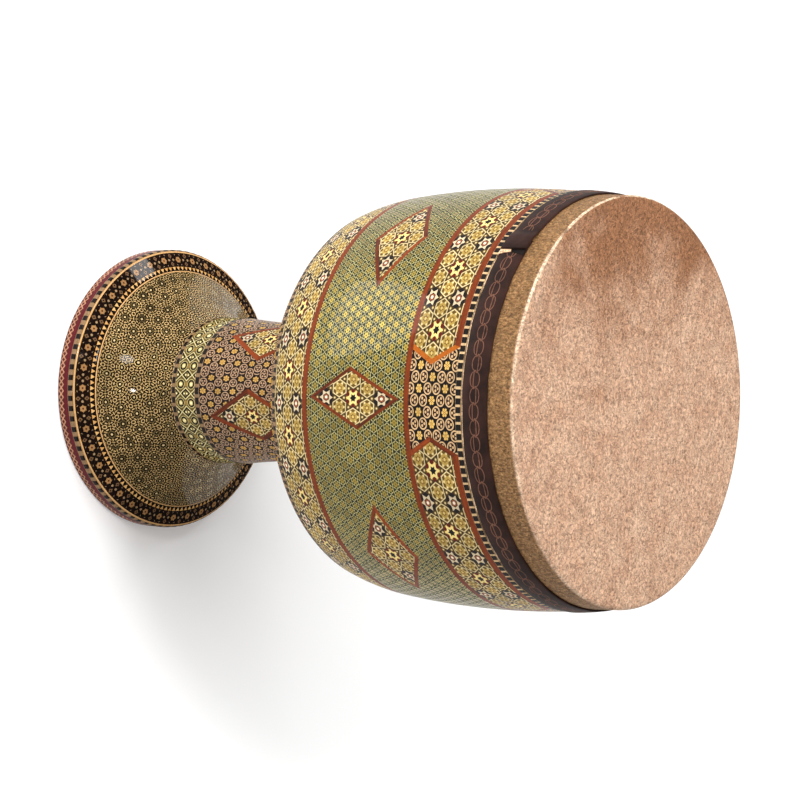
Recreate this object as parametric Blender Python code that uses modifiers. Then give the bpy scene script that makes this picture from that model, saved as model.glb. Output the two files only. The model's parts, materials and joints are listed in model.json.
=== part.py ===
"""A goblet drum: a turned wooden goblet, sheets of marquetry round it, and a glued skin head.

Metres, +Z up. The drum stands on its foot, and the origin is the centre of the foot's resting plane.
The side that faces -Y is the front, and angles round the drum are counted from it towards +X.
"""
import math

import bmesh
import bpy
from mathutils import Matrix, Vector

# Round pieces
FACETS = 40
FACET = 2.0 * math.pi / FACETS

# The small clearance between two pieces that are glued together
GAP = 0.0003

# Bowl: its widest ring is the belly, which lies below the head
HEAD_HEIGHT = 0.4560
BELLY_RADIUS = 0.1482
BELLY_DROP = 0.1110
BELLY_HEIGHT = HEAD_HEIGHT - BELLY_DROP
SIDE_CURVE = 0.6200
SHOULDER_START = math.radians(5.6)
SHOULDER_TURN = math.radians(18.6)
SHOULDER_CURVE = 0.1500
UNDERSIDE_SLOPE = math.radians(62.0)
CORNER_CURVE = 0.0190
NECK_FILLET = 0.0120

# Skin head
HEAD_INSET = 0.0082
HEAD_RADIUS = BELLY_RADIUS - HEAD_INSET
SKIN_THICKNESS = 0.0008
SKIN_ROUNDING = 0.0030
SKIN_DROP = 0.0382
SKIN_EDGE_HEIGHT = HEAD_HEIGHT - SKIN_DROP

# Neck, collar and foot
NECK_RADIUS = 0.0520
NECK_STRAIGHT = 0.0124
NECK_FLARE_CURVE = 0.7000
COLLAR_HEIGHT = 0.0980
COLLAR_SWELL = 0.0055
COLLAR_RADIUS = NECK_RADIUS + COLLAR_SWELL
DISH_TOP_HEIGHT = 0.0690
DISH_EDGE_HEIGHT = 0.0232
DISH_TURN = math.radians(23.0)
FOOT_RADIUS = 0.1120
FOOT_RIM_REACH = 0.0168
DISH_EDGE_RADIUS = FOOT_RADIUS - FOOT_RIM_REACH
FOOT_RIM_SLOPE = math.radians(23.7)
FOOT_ROUNDING = 0.0037

# Inside of the wooden body: walls of the bowl, the neck and the foot, and where the bowl's floor starts
BOWL_WALL = 0.0202
BOWL_BORE_RADIUS = BELLY_RADIUS - BOWL_WALL
BOWL_DEPTH = 0.1560
BOWL_FLOOR_HEIGHT = HEAD_HEIGHT - BOWL_DEPTH
BOWL_FLOOR_CURVE = 0.0600
RIM_BEVEL = 0.0050
NECK_WALL = 0.0160
THROAT_RADIUS = NECK_RADIUS - NECK_WALL
THROAT_ROUNDING = 0.0120
FOOT_WALL = 0.0160
MOUTH_RADIUS = FOOT_RADIUS - FOOT_WALL
MOUTH_FLARE_HEIGHT = 0.0950

# Marquetry: the sheets' thickness, and their widths along the surface from the skin's edge down
SHEET_THICKNESS = 0.0012
RIM_CHECK_WIDTH = 0.0040
FRONT_BAND_WIDTH = 0.0360
UPPER_LINE_WIDTH = 0.0041
GREEN_FIELD_WIDTH = 0.0858
LOWER_LINE_WIDTH = 0.0045
SHOULDER_BAND_WIDTH = 0.0320
SHOULDER_CHECK_WIDTH = 0.0045
NECK_CHECK_WIDTH = 0.0048
COLLAR_DOT_WIDTH = 0.0042
GOLD_LINE_WIDTH = 0.0017
SAWTOOTH_WIDTH = 0.0034
RIM_BAND_WIDTH = 0.0124
CREAM_LINE_WIDTH = 0.0012
FOOT_CHECK_WIDTH = 0.0053
BURGUNDY_WIDTH = 0.0044
FLOOR_CLEARANCE = 0.0008

# Front band panels
PANEL_COUNT = 4
PANEL_FRAME_WIDTH = 0.0033
PANEL_TOP_WIDTH = 0.0045
PANEL_POINT_SLOPE = 0.60
SECTION_WIDTH = 0.0461

# Lozenges on the green field: half sizes round the drum and along it
TALL_FRAME_WIDTH = 0.0023
WIDE_FRAME_WIDTH = 0.0030
TALL_HALF_WIDTH = 0.0208
TALL_TIP_MARGIN = 0.0036
TALL_HALF_HEIGHT = GREEN_FIELD_WIDTH / 2.0 - TALL_TIP_MARGIN
WIDE_HALF_WIDTH = 0.0448
WIDE_HALF_HEIGHT = 0.0229
LOZENGE_COUNT = 8
# Each lozenge was laid by hand: its turn away from the even spacing, and the lean of its side corners
LOZENGE_TURNS = [math.radians(a) for a in (0.0, 0.7, 0.0, -0.5, 0.0, 0.6, 0.0, -2.1)]
LOZENGE_LEANS = (0.0036, -0.0050, 0.0015, 0.0020, -0.0020, -0.0015, 0.0025, 0.0026)

# Lozenges on the neck
NECK_LOZENGE_COUNT = 5
NECK_LOZENGE_START = math.radians(20.4)
NECK_LOZENGE_HALF_WIDTH = 0.0215
NECK_LOZENGE_MARGIN = 0.0067
NECK_FRAME_WIDTH = 0.0035
# Their turns from the even spacing, rises above the field's middle, extra half heights and leans
NECK_LOZENGE_TURNS = [math.radians(a) for a in (0.0, 0.9, -0.6, 0.5, 1.8)]
NECK_LOZENGE_RISES = (0.0028, 0.0020, 0.0030, 0.0024, 0.0050)
NECK_LOZENGE_EXTRAS = (0.0016, -0.0004, 0.0008, 0.0, -0.0018)
NECK_LOZENGE_LEANS = (0.0026, -0.0012, 0.0010, -0.0018, -0.0012)

# Leather strip
LEATHER_WIDTH = 0.0180
LEATHER_THICKNESS = 0.0011
SKIN_EDGE_SHOWING = 0.0014
LEATHER_JOINT = math.radians(-42.0)
LEATHER_RAMP = math.radians(4.4)
LEATHER_LEVEL = math.radians(0.66)
LEATHER_LAP = math.radians(4.0)

# How far a cutter reaches past the sheets that it cuts
CUTTER_REACH = 0.0080


def arc(start, begin, end, curve, steps):
    """Points after start along a round stretch of a profile that runs downwards.

    begin and end are the surface's tilt towards the floor, where 0 is an upright wall.
    The stretch bulges outwards where the tilt grows, and is hollow where it shrinks.
    """
    side = 1.0 if end > begin else -1.0
    points = []
    for step in range(1, steps + 1):
        tilt = begin + (end - begin) * step / steps
        radius = start[0] + side * curve * (math.cos(tilt) - math.cos(begin))
        height = start[1] - side * curve * (math.sin(tilt) - math.sin(begin))
        points.append((radius, height))
    return points


def side_point(height):
    """Point of the bowl's barrel-shaped side at a height."""
    tilt = math.asin((BELLY_HEIGHT - height) / SIDE_CURVE)
    return (BELLY_RADIUS - SIDE_CURVE * (1.0 - math.cos(tilt)), height), tilt


def distance(a, b):
    """Distance between two points of a profile."""
    return math.hypot(a[0] - b[0], a[1] - b[1])


def marquetry_line():
    """The outer surface from the skin's edge down to the floor, and its named stations."""
    start, tilt = side_point(SKIN_EDGE_HEIGHT)
    line = [start]
    line += arc(start, tilt, SHOULDER_START, SIDE_CURVE, 4)
    line += arc(line[-1], SHOULDER_START, SHOULDER_TURN, SHOULDER_CURVE, 2)
    line += arc(line[-1], SHOULDER_TURN, UNDERSIDE_SLOPE, CORNER_CURVE, 4)
    fillet_radius = NECK_RADIUS + NECK_FILLET * (1.0 - math.cos(UNDERSIDE_SLOPE))
    fall = (line[-1][0] - fillet_radius) / math.tan(UNDERSIDE_SLOPE)
    line.append((fillet_radius, line[-1][1] - fall))
    line += arc(line[-1], UNDERSIDE_SLOPE, 0.0, NECK_FILLET, 3)
    marks = {"neck_top": len(line) - 1}
    line.append((NECK_RADIUS, line[-1][1] - NECK_STRAIGHT))
    flare = math.asin((line[-1][1] - COLLAR_HEIGHT) / NECK_FLARE_CURVE)
    line += arc(line[-1], 0.0, -flare, NECK_FLARE_CURVE, 2)
    marks["collar_top"] = len(line) - 1
    line.append((COLLAR_RADIUS, DISH_TOP_HEIGHT))
    marks["dish_top"] = len(line) - 1
    line += dish_arc(line[-1], 3)
    marks["dish_edge"] = len(line) - 1
    run = FOOT_RADIUS - FOOT_ROUNDING * (1.0 - math.sin(FOOT_RIM_SLOPE)) - DISH_EDGE_RADIUS
    line.append((DISH_EDGE_RADIUS + run, DISH_EDGE_HEIGHT - run * math.tan(FOOT_RIM_SLOPE)))
    line += arc(line[-1], FOOT_RIM_SLOPE - math.pi / 2.0, 0.0, FOOT_ROUNDING, 2)
    line.append((FOOT_RADIUS, 0.0))
    return line, marks


def dish_arc(start, steps):
    """The foot's hollow flare, from its top out to the edge of its rim."""
    end = (DISH_EDGE_RADIUS, DISH_EDGE_HEIGHT)
    chord_tilt = -math.atan2(end[0] - start[0], start[1] - end[1])
    curve = distance(start, end) / (2.0 * math.sin(DISH_TURN / 2.0))
    return arc(start, chord_tilt + DISH_TURN / 2.0, chord_tilt - DISH_TURN / 2.0, curve, steps)


def offset(line, depth):
    """The same line set inwards by a depth, square to each of its stretches."""
    moved = []
    for index, point in enumerate(line):
        normals = []
        for a, b in ((index - 1, index), (index, index + 1)):
            if a >= 0 and b < len(line):
                run = distance(line[a], line[b])
                normals.append(((line[a][1] - line[b][1]) / run, (line[b][0] - line[a][0]) / run))
        r = sum(n[0] for n in normals)
        z = sum(n[1] for n in normals)
        shrink = depth / (normals[0][0] * r + normals[0][1] * z)
        moved.append((point[0] - r * shrink, point[1] - z * shrink))
    return moved


def lengths(line):
    """Length of a line up to each of its points."""
    total = [0.0]
    for a, b in zip(line, line[1:]):
        total.append(total[-1] + distance(a, b))
    return total


def stretch(line, guide, low, high):
    """The part of a line between two lengths that are counted along its guide line."""
    run = lengths(guide)

    def at(length):
        index = max(i for i in range(len(run) - 1) if run[i] <= length or i == 0)
        share = (length - run[index]) / (run[index + 1] - run[index])
        a, b = line[index], line[index + 1]
        return (a[0] + (b[0] - a[0]) * share, a[1] + (b[1] - a[1]) * share)

    inner = [point for point, length in zip(line, run) if low + GAP < length < high - GAP]
    return [at(low)] + inner + [at(high)]


SURFACE, MARKS = marquetry_line()
BACK = offset(SURFACE, SHEET_THICKNESS)
SEAT = offset(SURFACE, SHEET_THICKNESS + GAP)
RUN = lengths(SURFACE)


def band(low, high):
    """Closed profile of a sheet between two lengths down the surface, with half a gap at each edge."""
    outer = stretch(SURFACE, SURFACE, low + GAP / 2.0, high - GAP / 2.0)
    inner = stretch(BACK, SURFACE, low + GAP / 2.0, high - GAP / 2.0)
    return outer + inner[::-1]


def middle(low, high):
    """Radius and height of the surface half way between two lengths."""
    outer = stretch(SURFACE, SURFACE, low, (low + high) / 2.0)
    return outer[-1]


def station_lengths():
    """Length down the surface at which each sheet of marquetry begins, and where the last one ends."""
    top = 0.0
    edges = {}
    for name, width in (("rim_check_strip", RIM_CHECK_WIDTH), ("front_band", FRONT_BAND_WIDTH),
                        ("upper_orange_line", UPPER_LINE_WIDTH), ("green_field", GREEN_FIELD_WIDTH),
                        ("lower_orange_line", LOWER_LINE_WIDTH), ("shoulder_band", SHOULDER_BAND_WIDTH),
                        ("shoulder_check_line", SHOULDER_CHECK_WIDTH)):
        edges[name] = (top, top + width)
        top += width
    edges["underside_field"] = (top, RUN[MARKS["neck_top"]])
    collar = RUN[MARKS["collar_top"]]
    edges["neck_field"] = (RUN[MARKS["neck_top"]], collar)
    edges["neck_check_line"] = (collar, collar + NECK_CHECK_WIDTH)
    dish = RUN[MARKS["dish_top"]]
    edges["collar_band"] = (collar + NECK_CHECK_WIDTH, dish - COLLAR_DOT_WIDTH)
    edges["collar_dot_line"] = (dish - COLLAR_DOT_WIDTH, dish)
    rim = RUN[MARKS["dish_edge"]]
    edges["dish_field"] = (dish, rim - GOLD_LINE_WIDTH)
    top = rim - GOLD_LINE_WIDTH
    for name, width in (("inner_gold_line", GOLD_LINE_WIDTH), ("sawtooth_ring", SAWTOOTH_WIDTH),
                        ("foot_rim_band", RIM_BAND_WIDTH), ("outer_cream_line", CREAM_LINE_WIDTH),
                        ("foot_check_line", FOOT_CHECK_WIDTH), ("burgundy_band", BURGUNDY_WIDTH)):
        edges[name] = (top, top + width)
        top += width
    edges["foot_edge_band"] = (top, RUN[-1] - FLOOR_CLEARANCE)
    return edges


EDGES = station_lengths()


def heights(field):
    """Lowest and highest height of a sheet's outer surface."""
    outer = stretch(SURFACE, SURFACE, *EDGES[field])
    return outer[-1][1], outer[0][1]


def clear_scene():
    """Remove what the file holds, and make the two collections."""
    for item in list(bpy.data.objects):
        bpy.data.objects.remove(item, do_unlink=True)
    parts = bpy.data.collections.new("goblet_drum")
    cutters = bpy.data.collections.new("cutters")
    bpy.context.scene.collection.children.link(parts)
    bpy.context.scene.collection.children.link(cutters)
    return parts, cutters


PARTS, CUTTERS = clear_scene()


def material(name, colour, roughness, metallic=0.0):
    """A plain finish, named once and shared by the pieces that have it."""
    found = bpy.data.materials.get(name)
    if found is not None:
        return found
    made = bpy.data.materials.new(name)
    made.use_nodes = True
    shader = made.node_tree.nodes["Principled BSDF"]
    shader.inputs["Base Color"].default_value = (*colour, 1.0)
    shader.inputs["Roughness"].default_value = roughness
    shader.inputs["Metallic"].default_value = metallic
    return made


FINISHES = {
    "walnut": ((0.085, 0.035, 0.016), 0.45),
    "goatskin": ((0.560, 0.375, 0.240), 0.70),
    "leather": ((0.032, 0.012, 0.010), 0.50),
    "check": ((0.200, 0.160, 0.100), 0.25),
    "rosette": ((0.560, 0.440, 0.210), 0.25),
    "orange_wood": ((0.330, 0.085, 0.025), 0.30),
    "flower": ((0.080, 0.050, 0.030), 0.25),
    "green_star": ((0.290, 0.310, 0.090), 0.25),
    "collar": ((0.260, 0.230, 0.070), 0.25),
    "dish": ((0.220, 0.165, 0.060), 0.25),
    "gold_line": ((0.640, 0.430, 0.180), 0.25),
    "burgundy": ((0.100, 0.012, 0.014), 0.25),
    "foot_edge": ((0.260, 0.130, 0.060), 0.30),
}


def add_part(name, mesh, finish):
    """Put a named piece in the drum's collection with its finish."""
    piece = bpy.data.objects.new(name, mesh)
    PARTS.objects.link(piece)
    colour, roughness = FINISHES[finish]
    mesh.materials.append(material(finish, colour, roughness))
    return piece


def turned(name, profile, finish, closed=True):
    """A turned piece: a profile at +X, down its outer side and up its inner side, spun about Z."""
    mesh = bpy.data.meshes.new(name)
    edges = [(i, i + 1) for i in range(len(profile) - 1)]
    if closed:
        edges.append((len(profile) - 1, 0))
    mesh.from_pydata([(radius, 0.0, height) for radius, height in profile], edges, [])
    piece = add_part(name, mesh, finish)
    spin = piece.modifiers.new("spin", "SCREW")
    spin.axis = "Z"
    spin.steps = FACETS
    spin.render_steps = FACETS
    spin.use_merge_vertices = True
    spin.merge_threshold = 0.00005
    spin.use_smooth_shade = True
    return piece


def around(angle, radius, height):
    """Point at an angle from the front, towards +X."""
    return (radius * math.sin(angle), -radius * math.cos(angle), height)


def cutter(name, field, outline, insets):
    """A cutter with flat walls that stand square to the surface of a field.

    The outline is a list of corners, each an angle from the front and a height, in order against the
    clock as seen from outside. Each inset draws in the wall that begins at the corner of its place.
    """
    radius, _ = middle(*EDGES[field])
    walls = []
    for start, end, inset in zip(outline, outline[1:] + outline[:1], insets):
        corner = Vector(around(start[0], radius, start[1]))
        along = Vector(around(end[0], radius, end[1])) - corner
        outwards = Vector(around((start[0] + end[0]) / 2.0, 1.0, 0.0))
        normal = along.cross(outwards).normalized()
        walls.append((normal, normal.dot(corner) - inset))
    angles = [angle for angle, _ in outline]
    centre = (min(angles) + max(angles)) / 2.0
    facing = Vector(around(centre, 1.0, 0.0))
    radii = [r for r, _ in stretch(SURFACE, SURFACE, *EDGES[field])]
    near = min(radii) * math.cos(max(angles) - centre) - CUTTER_REACH
    far = max(radii) + CUTTER_REACH
    work = bmesh.new()
    caps = []
    for depth in (near, far):
        cap = []
        for before, after in zip(walls[-1:] + walls[:-1], walls):
            planes = Matrix((before[0], after[0], facing))
            cap.append(work.verts.new(planes.inverted() @ Vector((before[1], after[1], depth))))
        caps.append(cap)
    for index in range(len(outline)):
        work.faces.new((caps[0][index - 1], caps[0][index], caps[1][index], caps[1][index - 1]))
    work.faces.new(caps[0])
    work.faces.new(caps[1])
    bmesh.ops.recalc_face_normals(work, faces=work.faces)
    mesh = bpy.data.meshes.new(name)
    work.to_mesh(mesh)
    work.free()
    made = bpy.data.objects.new(name, mesh)
    made.hide_render = True
    made.display_type = "WIRE"
    CUTTERS.objects.link(made)
    return made


def cut(piece, shape, operation):
    """Cut a piece with a cutter's shape, or keep only what lies inside it."""
    step = piece.modifiers.new(operation.lower(), "BOOLEAN")
    step.operation = operation
    step.object = shape
    step.solver = "EXACT"


class Lozenge:
    """A lozenge laid on a field: its centre, half sizes and the lean of its side corners."""

    def __init__(self, field, angle, half_width, half_height, lean, rise=0.0):
        self.field = field
        self.angle = angle
        self.half_width = half_width
        self.half_height = half_height
        self.lean = lean
        self.radius, self.height = middle(*EDGES[field])
        self.height += rise

    def shape(self, name, inset):
        """Cutter in the lozenge's shape, drawn in by a distance from its edges."""
        turn = self.half_width / self.radius
        outline = [
            (self.angle + turn, self.height + self.lean),
            (self.angle, self.height + self.half_height),
            (self.angle - turn, self.height - self.lean),
            (self.angle, self.height - self.half_height),
        ]
        return cutter(name, self.field, outline, [inset] * len(outline))

    def build(self, name, frame_name, frame_width, frame_finish="orange_wood"):
        """The lozenge, its frame, and the cutter of the hole in the field that holds them."""
        outer = self.shape(name + "_outer_cut", 0.0)
        inner = self.shape(name + "_inner_cut", frame_width)
        sheet = self.shape(name + "_sheet_cut", frame_width + GAP)
        frame = turned(frame_name, band(*EDGES[self.field]), frame_finish)
        cut(frame, outer, "INTERSECT")
        cut(frame, inner, "DIFFERENCE")
        lozenge = turned(name, band(*EDGES[self.field]), "rosette")
        cut(lozenge, sheet, "INTERSECT")
        return self.shape(name + "_hole_cut", -GAP)


def make_wooden_body():
    """The turned goblet: outside under the sheets, inside bowl, throat and flared mouth."""
    top = HEAD_HEIGHT - SKIN_THICKNESS - GAP
    corner = SKIN_ROUNDING - SKIN_THICKNESS - GAP
    wall = HEAD_RADIUS - SKIN_THICKNESS - GAP
    outside = [(wall - corner, top)]
    outside += arc(outside[0], -math.pi / 2.0, 0.0, corner, 2)
    outside += skin_side(SKIN_THICKNESS + GAP)[1:-1]
    outside += SEAT[:-1]
    outside.append((SEAT[-1][0], 0.0))
    bottom = [(MOUTH_RADIUS, 0.0)]
    flare = 2.0 * math.atan((MOUTH_RADIUS - THROAT_RADIUS) / MOUTH_FLARE_HEIGHT)
    flare_curve = MOUTH_FLARE_HEIGHT / math.sin(flare)
    steps = 4
    for step in range(1, steps + 1):
        tilt = flare * (1.0 - step / steps)
        bottom.append((THROAT_RADIUS + flare_curve * (1.0 - math.cos(tilt)),
                       MOUTH_FLARE_HEIGHT - flare_curve * math.sin(tilt)))
    floor = arc((BOWL_BORE_RADIUS, BOWL_FLOOR_HEIGHT), 0.0, UNDERSIDE_SLOPE, BOWL_FLOOR_CURVE, 4)
    lip_radius = THROAT_RADIUS + THROAT_ROUNDING * (1.0 - math.cos(UNDERSIDE_SLOPE))
    fall = (floor[-1][0] - lip_radius) / math.tan(UNDERSIDE_SLOPE)
    lip = [(lip_radius, floor[-1][1] - fall)]
    lip += arc(lip[0], UNDERSIDE_SLOPE, 0.0, THROAT_ROUNDING, 2)
    inside = lip[::-1] + floor[::-1]
    inside.append((BOWL_BORE_RADIUS, BOWL_FLOOR_HEIGHT))
    inside.append((BOWL_BORE_RADIUS, top - RIM_BEVEL))
    inside.append((BOWL_BORE_RADIUS + RIM_BEVEL, top))
    turned("wooden_body", outside + bottom + inside, "walnut")


def skin_side(depth):
    """The skin's outside from its rounded edge down to its lower edge, set in by a depth."""
    sink = SHEET_THICKNESS - SKIN_THICKNESS
    leather_top = SKIN_EDGE_HEIGHT + SKIN_EDGE_SHOWING + LEATHER_WIDTH
    points = [(HEAD_RADIUS, HEAD_HEIGHT - SKIN_ROUNDING)]
    for height in (leather_top, SKIN_EDGE_HEIGHT + GAP):
        (radius, _), _ = side_point(height)
        points.append((radius - sink, height))
    return [(radius - depth, height) for radius, height in points]


def make_skin_head():
    """The skin: flat over the rim, rounded over its edge and down the outside of the bowl."""
    outside = [(0.0, HEAD_HEIGHT), (HEAD_RADIUS - SKIN_ROUNDING, HEAD_HEIGHT)]
    outside += arc(outside[-1], -math.pi / 2.0, 0.0, SKIN_ROUNDING, 3)
    outside += skin_side(0.0)[1:]
    under = HEAD_HEIGHT - SKIN_THICKNESS
    corner = SKIN_ROUNDING - SKIN_THICKNESS
    inside = [(0.0, under), (HEAD_RADIUS - SKIN_ROUNDING, under)]
    inside += arc(inside[-1], -math.pi / 2.0, 0.0, corner, 3)
    inside += skin_side(SKIN_THICKNESS)[1:]
    turned("skin_head", outside + inside[::-1], "goatskin", closed=False)


def on_facet(angle):
    """Share of a round piece's radius that its flat facets have at an angle from the front."""
    within = angle % FACET - FACET / 2.0
    return math.cos(FACET / 2.0) / math.cos(within)


def make_leather_strip():
    """One strip round the skin's lower part, its last end lifted over its first.

    The ramp up to the lap ends in a short level stretch, and each section keeps clear of the next.
    """
    foot = SKIN_EDGE_HEIGHT + SKIN_EDGE_SHOWING
    sink = SHEET_THICKNESS - SKIN_THICKNESS
    lift = LEATHER_THICKNESS + GAP
    first = LEATHER_JOINT
    turn = first + 2.0 * math.pi
    angles = [first]
    step = math.floor(first / FACET) + 1
    clear_of_ramp = FACET / 4.0
    while step * FACET < turn - LEATHER_RAMP - clear_of_ramp:
        angles.append(step * FACET)
        step += 1
    angles += [turn - LEATHER_RAMP, turn - LEATHER_LEVEL, turn, turn + LEATHER_LAP]
    edge = (math.floor(turn / FACET) + 1) * FACET
    if edge < turn + LEATHER_LAP:
        angles.insert(-1, edge)
    work = bmesh.new()
    sections = []
    for angle in angles:
        climb = (angle - turn + LEATHER_RAMP) / (LEATHER_RAMP - LEATHER_LEVEL)
        raised = min(1.0, max(0.0, climb)) * lift
        section = []
        for height, side in ((foot, 0), (foot, 1), (foot + LEATHER_WIDTH, 1), (foot + LEATHER_WIDTH, 0)):
            (radius, _), _ = side_point(height)
            radius += raised + GAP - sink + side * LEATHER_THICKNESS
            section.append(work.verts.new(around(angle, radius * on_facet(angle), height)))
        sections.append(section)
    for a, b in zip(sections, sections[1:]):
        for corner in range(4):
            after = (corner + 1) % 4
            work.faces.new((a[corner], b[corner], b[after], a[after]))
    work.faces.new(sections[0])
    work.faces.new(sections[-1][::-1])
    bmesh.ops.recalc_face_normals(work, faces=work.faces)
    mesh = bpy.data.meshes.new("leather_strip")
    work.to_mesh(mesh)
    work.free()
    add_part("leather_strip", mesh, "leather")


def panel_cutter(name, angle, inset, top, bottom):
    """Cutter in the shape of a long panel with pointed ends, drawn in from its slanting edges."""
    radius, _ = middle(*EDGES["front_band"])
    low, high = heights("front_band")
    tip_height = low + (high - low - PANEL_TOP_WIDTH) / 2.0
    tip = math.pi / PANEL_COUNT - SECTION_WIDTH / 2.0 / radius
    at_top = tip - PANEL_POINT_SLOPE * (top - tip_height) / radius
    at_bottom = tip - PANEL_POINT_SLOPE * (tip_height - bottom) / radius
    outline = [
        (angle - at_bottom, bottom),
        (angle + at_bottom, bottom),
        (angle + tip, tip_height),
        (angle + at_top, top),
        (angle - at_top, top),
        (angle - tip, tip_height),
    ]
    return cutter(name, "front_band", outline, (0.0, inset, inset, 0.0, inset, inset))


def make_front_band():
    """Four framed rosette panels, and the four black-ground sections between them."""
    low, high = heights("front_band")
    past_low = low - CUTTER_REACH / 2.0
    past_high = high + CUTTER_REACH / 2.0
    radius, _ = middle(*EDGES["front_band"])
    quarter = 2.0 * math.pi / PANEL_COUNT
    holes = []
    for index in range(PANEL_COUNT):
        angle = quarter * (index + 0.5)
        number = str(index + 1)
        name = "front_panel_" + number
        outer = panel_cutter(name + "_outer_cut", angle, 0.0, past_high, past_low)
        inner_top = high - PANEL_TOP_WIDTH
        inner = panel_cutter(name + "_inner_cut", angle, PANEL_FRAME_WIDTH, inner_top, past_low)
        sheet = panel_cutter(name + "_sheet_cut", angle, PANEL_FRAME_WIDTH + GAP, inner_top - GAP, past_low)
        holes.append(panel_cutter(name + "_hole_cut", angle, -GAP, past_high, past_low))
        frame = turned("front_panel_frame_" + number, band(*EDGES["front_band"]), "orange_wood")
        cut(frame, outer, "INTERSECT")
        cut(frame, inner, "DIFFERENCE")
        panel = turned(name, band(*EDGES["front_band"]), "rosette")
        cut(panel, sheet, "INTERSECT")
    widest = SECTION_WIDTH / 2.0 + PANEL_POINT_SLOPE * (past_high - past_low)
    for index in range(PANEL_COUNT):
        name = "front_flower_section_" + str(index + 1)
        first = quarter * index - widest / radius
        last = quarter * index + widest / radius
        outline = [(first, past_low), (last, past_low), (last, past_high), (first, past_high)]
        blank = cutter(name + "_blank_cut", "front_band", outline, [0.0] * len(outline))
        section = turned(name, band(*EDGES["front_band"]), "flower")
        cut(section, blank, "INTERSECT")
        cut(section, holes[index - 1], "DIFFERENCE")
        cut(section, holes[index], "DIFFERENCE")


def make_green_field():
    """The star field round the bowl, with a framed lozenge in each of its openings."""
    field = turned("green_field", band(*EDGES["green_field"]), "green_star")
    for index in range(LOZENGE_COUNT):
        tall = index % 2 == 0
        angle = 2.0 * math.pi * index / LOZENGE_COUNT + LOZENGE_TURNS[index]
        half_width = TALL_HALF_WIDTH if tall else WIDE_HALF_WIDTH
        half_height = TALL_HALF_HEIGHT if tall else WIDE_HALF_HEIGHT
        frame_width = TALL_FRAME_WIDTH if tall else WIDE_FRAME_WIDTH
        lozenge = Lozenge("green_field", angle, half_width, half_height, LOZENGE_LEANS[index])
        kind = ("tall_" if tall else "wide_") + "lozenge_"
        number = str(index // 2 + 1)
        hole = lozenge.build(kind + number, kind + "frame_" + number, frame_width)
        cut(field, hole, "DIFFERENCE")


def make_neck_field():
    """The flower field round the neck, with a framed lozenge in each of its openings."""
    field = turned("neck_field", band(*EDGES["neck_field"]), "flower")
    low, high = heights("neck_field")
    half_height = (high - low) / 2.0 - NECK_LOZENGE_MARGIN
    for index in range(NECK_LOZENGE_COUNT):
        angle = NECK_LOZENGE_START + 2.0 * math.pi * index / NECK_LOZENGE_COUNT
        lozenge = Lozenge(
            "neck_field",
            angle + NECK_LOZENGE_TURNS[index],
            NECK_LOZENGE_HALF_WIDTH,
            half_height + NECK_LOZENGE_EXTRAS[index],
            NECK_LOZENGE_LEANS[index],
            NECK_LOZENGE_RISES[index],
        )
        number = str(index + 1)
        hole = lozenge.build("neck_lozenge_" + number, "neck_lozenge_frame_" + number, NECK_FRAME_WIDTH)
        cut(field, hole, "DIFFERENCE")


PLAIN_BANDS = {
    "rim_check_strip": "check",
    "upper_orange_line": "orange_wood",
    "lower_orange_line": "orange_wood",
    "shoulder_band": "rosette",
    "shoulder_check_line": "check",
    "underside_field": "flower",
    "neck_check_line": "check",
    "collar_band": "collar",
    "collar_dot_line": "check",
    "dish_field": "dish",
    "inner_gold_line": "gold_line",
    "sawtooth_ring": "check",
    "foot_rim_band": "flower",
    "outer_cream_line": "gold_line",
    "foot_check_line": "check",
    "burgundy_band": "burgundy",
    "foot_edge_band": "foot_edge",
}


def make_plain_bands():
    """The sheets that run right round the drum with nothing let into them."""
    for name, finish in PLAIN_BANDS.items():
        turned(name, band(*EDGES[name]), finish)


make_wooden_body()
make_skin_head()
make_leather_strip()
make_front_band()
make_green_field()
make_neck_field()
make_plain_bands()
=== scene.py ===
"""A goblet drum dressed for its photograph: khatam marquetry, leather strip and goatskin head.

Metres, +Z up. The drum stands on its foot. The side that faces -Y is its front, and angles round
the drum are counted from the front towards +X. A run is a length down the drum's outer surface,
from the lower edge of the skin to the floor.
"""

import json
import logging
import math
from dataclasses import dataclass, field
from enum import Enum
from typing import Any, Sequence

import bmesh
import bpy
from mathutils import Matrix, Vector

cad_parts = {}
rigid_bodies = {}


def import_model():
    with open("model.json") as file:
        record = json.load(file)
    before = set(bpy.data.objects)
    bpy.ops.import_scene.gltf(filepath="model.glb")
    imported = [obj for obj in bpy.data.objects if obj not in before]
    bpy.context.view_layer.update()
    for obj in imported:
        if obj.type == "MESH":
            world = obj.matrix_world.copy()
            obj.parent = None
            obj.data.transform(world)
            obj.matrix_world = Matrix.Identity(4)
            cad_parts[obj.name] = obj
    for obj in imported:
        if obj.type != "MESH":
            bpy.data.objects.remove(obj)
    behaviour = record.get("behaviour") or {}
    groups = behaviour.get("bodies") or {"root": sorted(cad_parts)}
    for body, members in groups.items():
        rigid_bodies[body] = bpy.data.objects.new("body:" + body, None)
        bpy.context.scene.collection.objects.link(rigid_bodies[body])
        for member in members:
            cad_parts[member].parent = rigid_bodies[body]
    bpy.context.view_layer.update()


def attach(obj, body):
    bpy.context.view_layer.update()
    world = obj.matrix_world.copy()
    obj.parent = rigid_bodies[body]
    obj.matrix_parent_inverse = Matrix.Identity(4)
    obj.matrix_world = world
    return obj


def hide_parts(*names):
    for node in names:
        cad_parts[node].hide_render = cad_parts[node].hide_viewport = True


for leftover in list(bpy.data.objects):
    bpy.data.objects.remove(leftover, do_unlink=True)
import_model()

Point = tuple[float, float]
Triple = tuple[float, float, float]
Mesh = bpy.types.Mesh
Node = bpy.types.Node
Tree = bpy.types.NodeTree
FULL_TURN = 2.0 * math.pi
MM = 0.001
ROW_SHARE = math.sqrt(3.0) / 2.0
BODY = "root"
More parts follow.
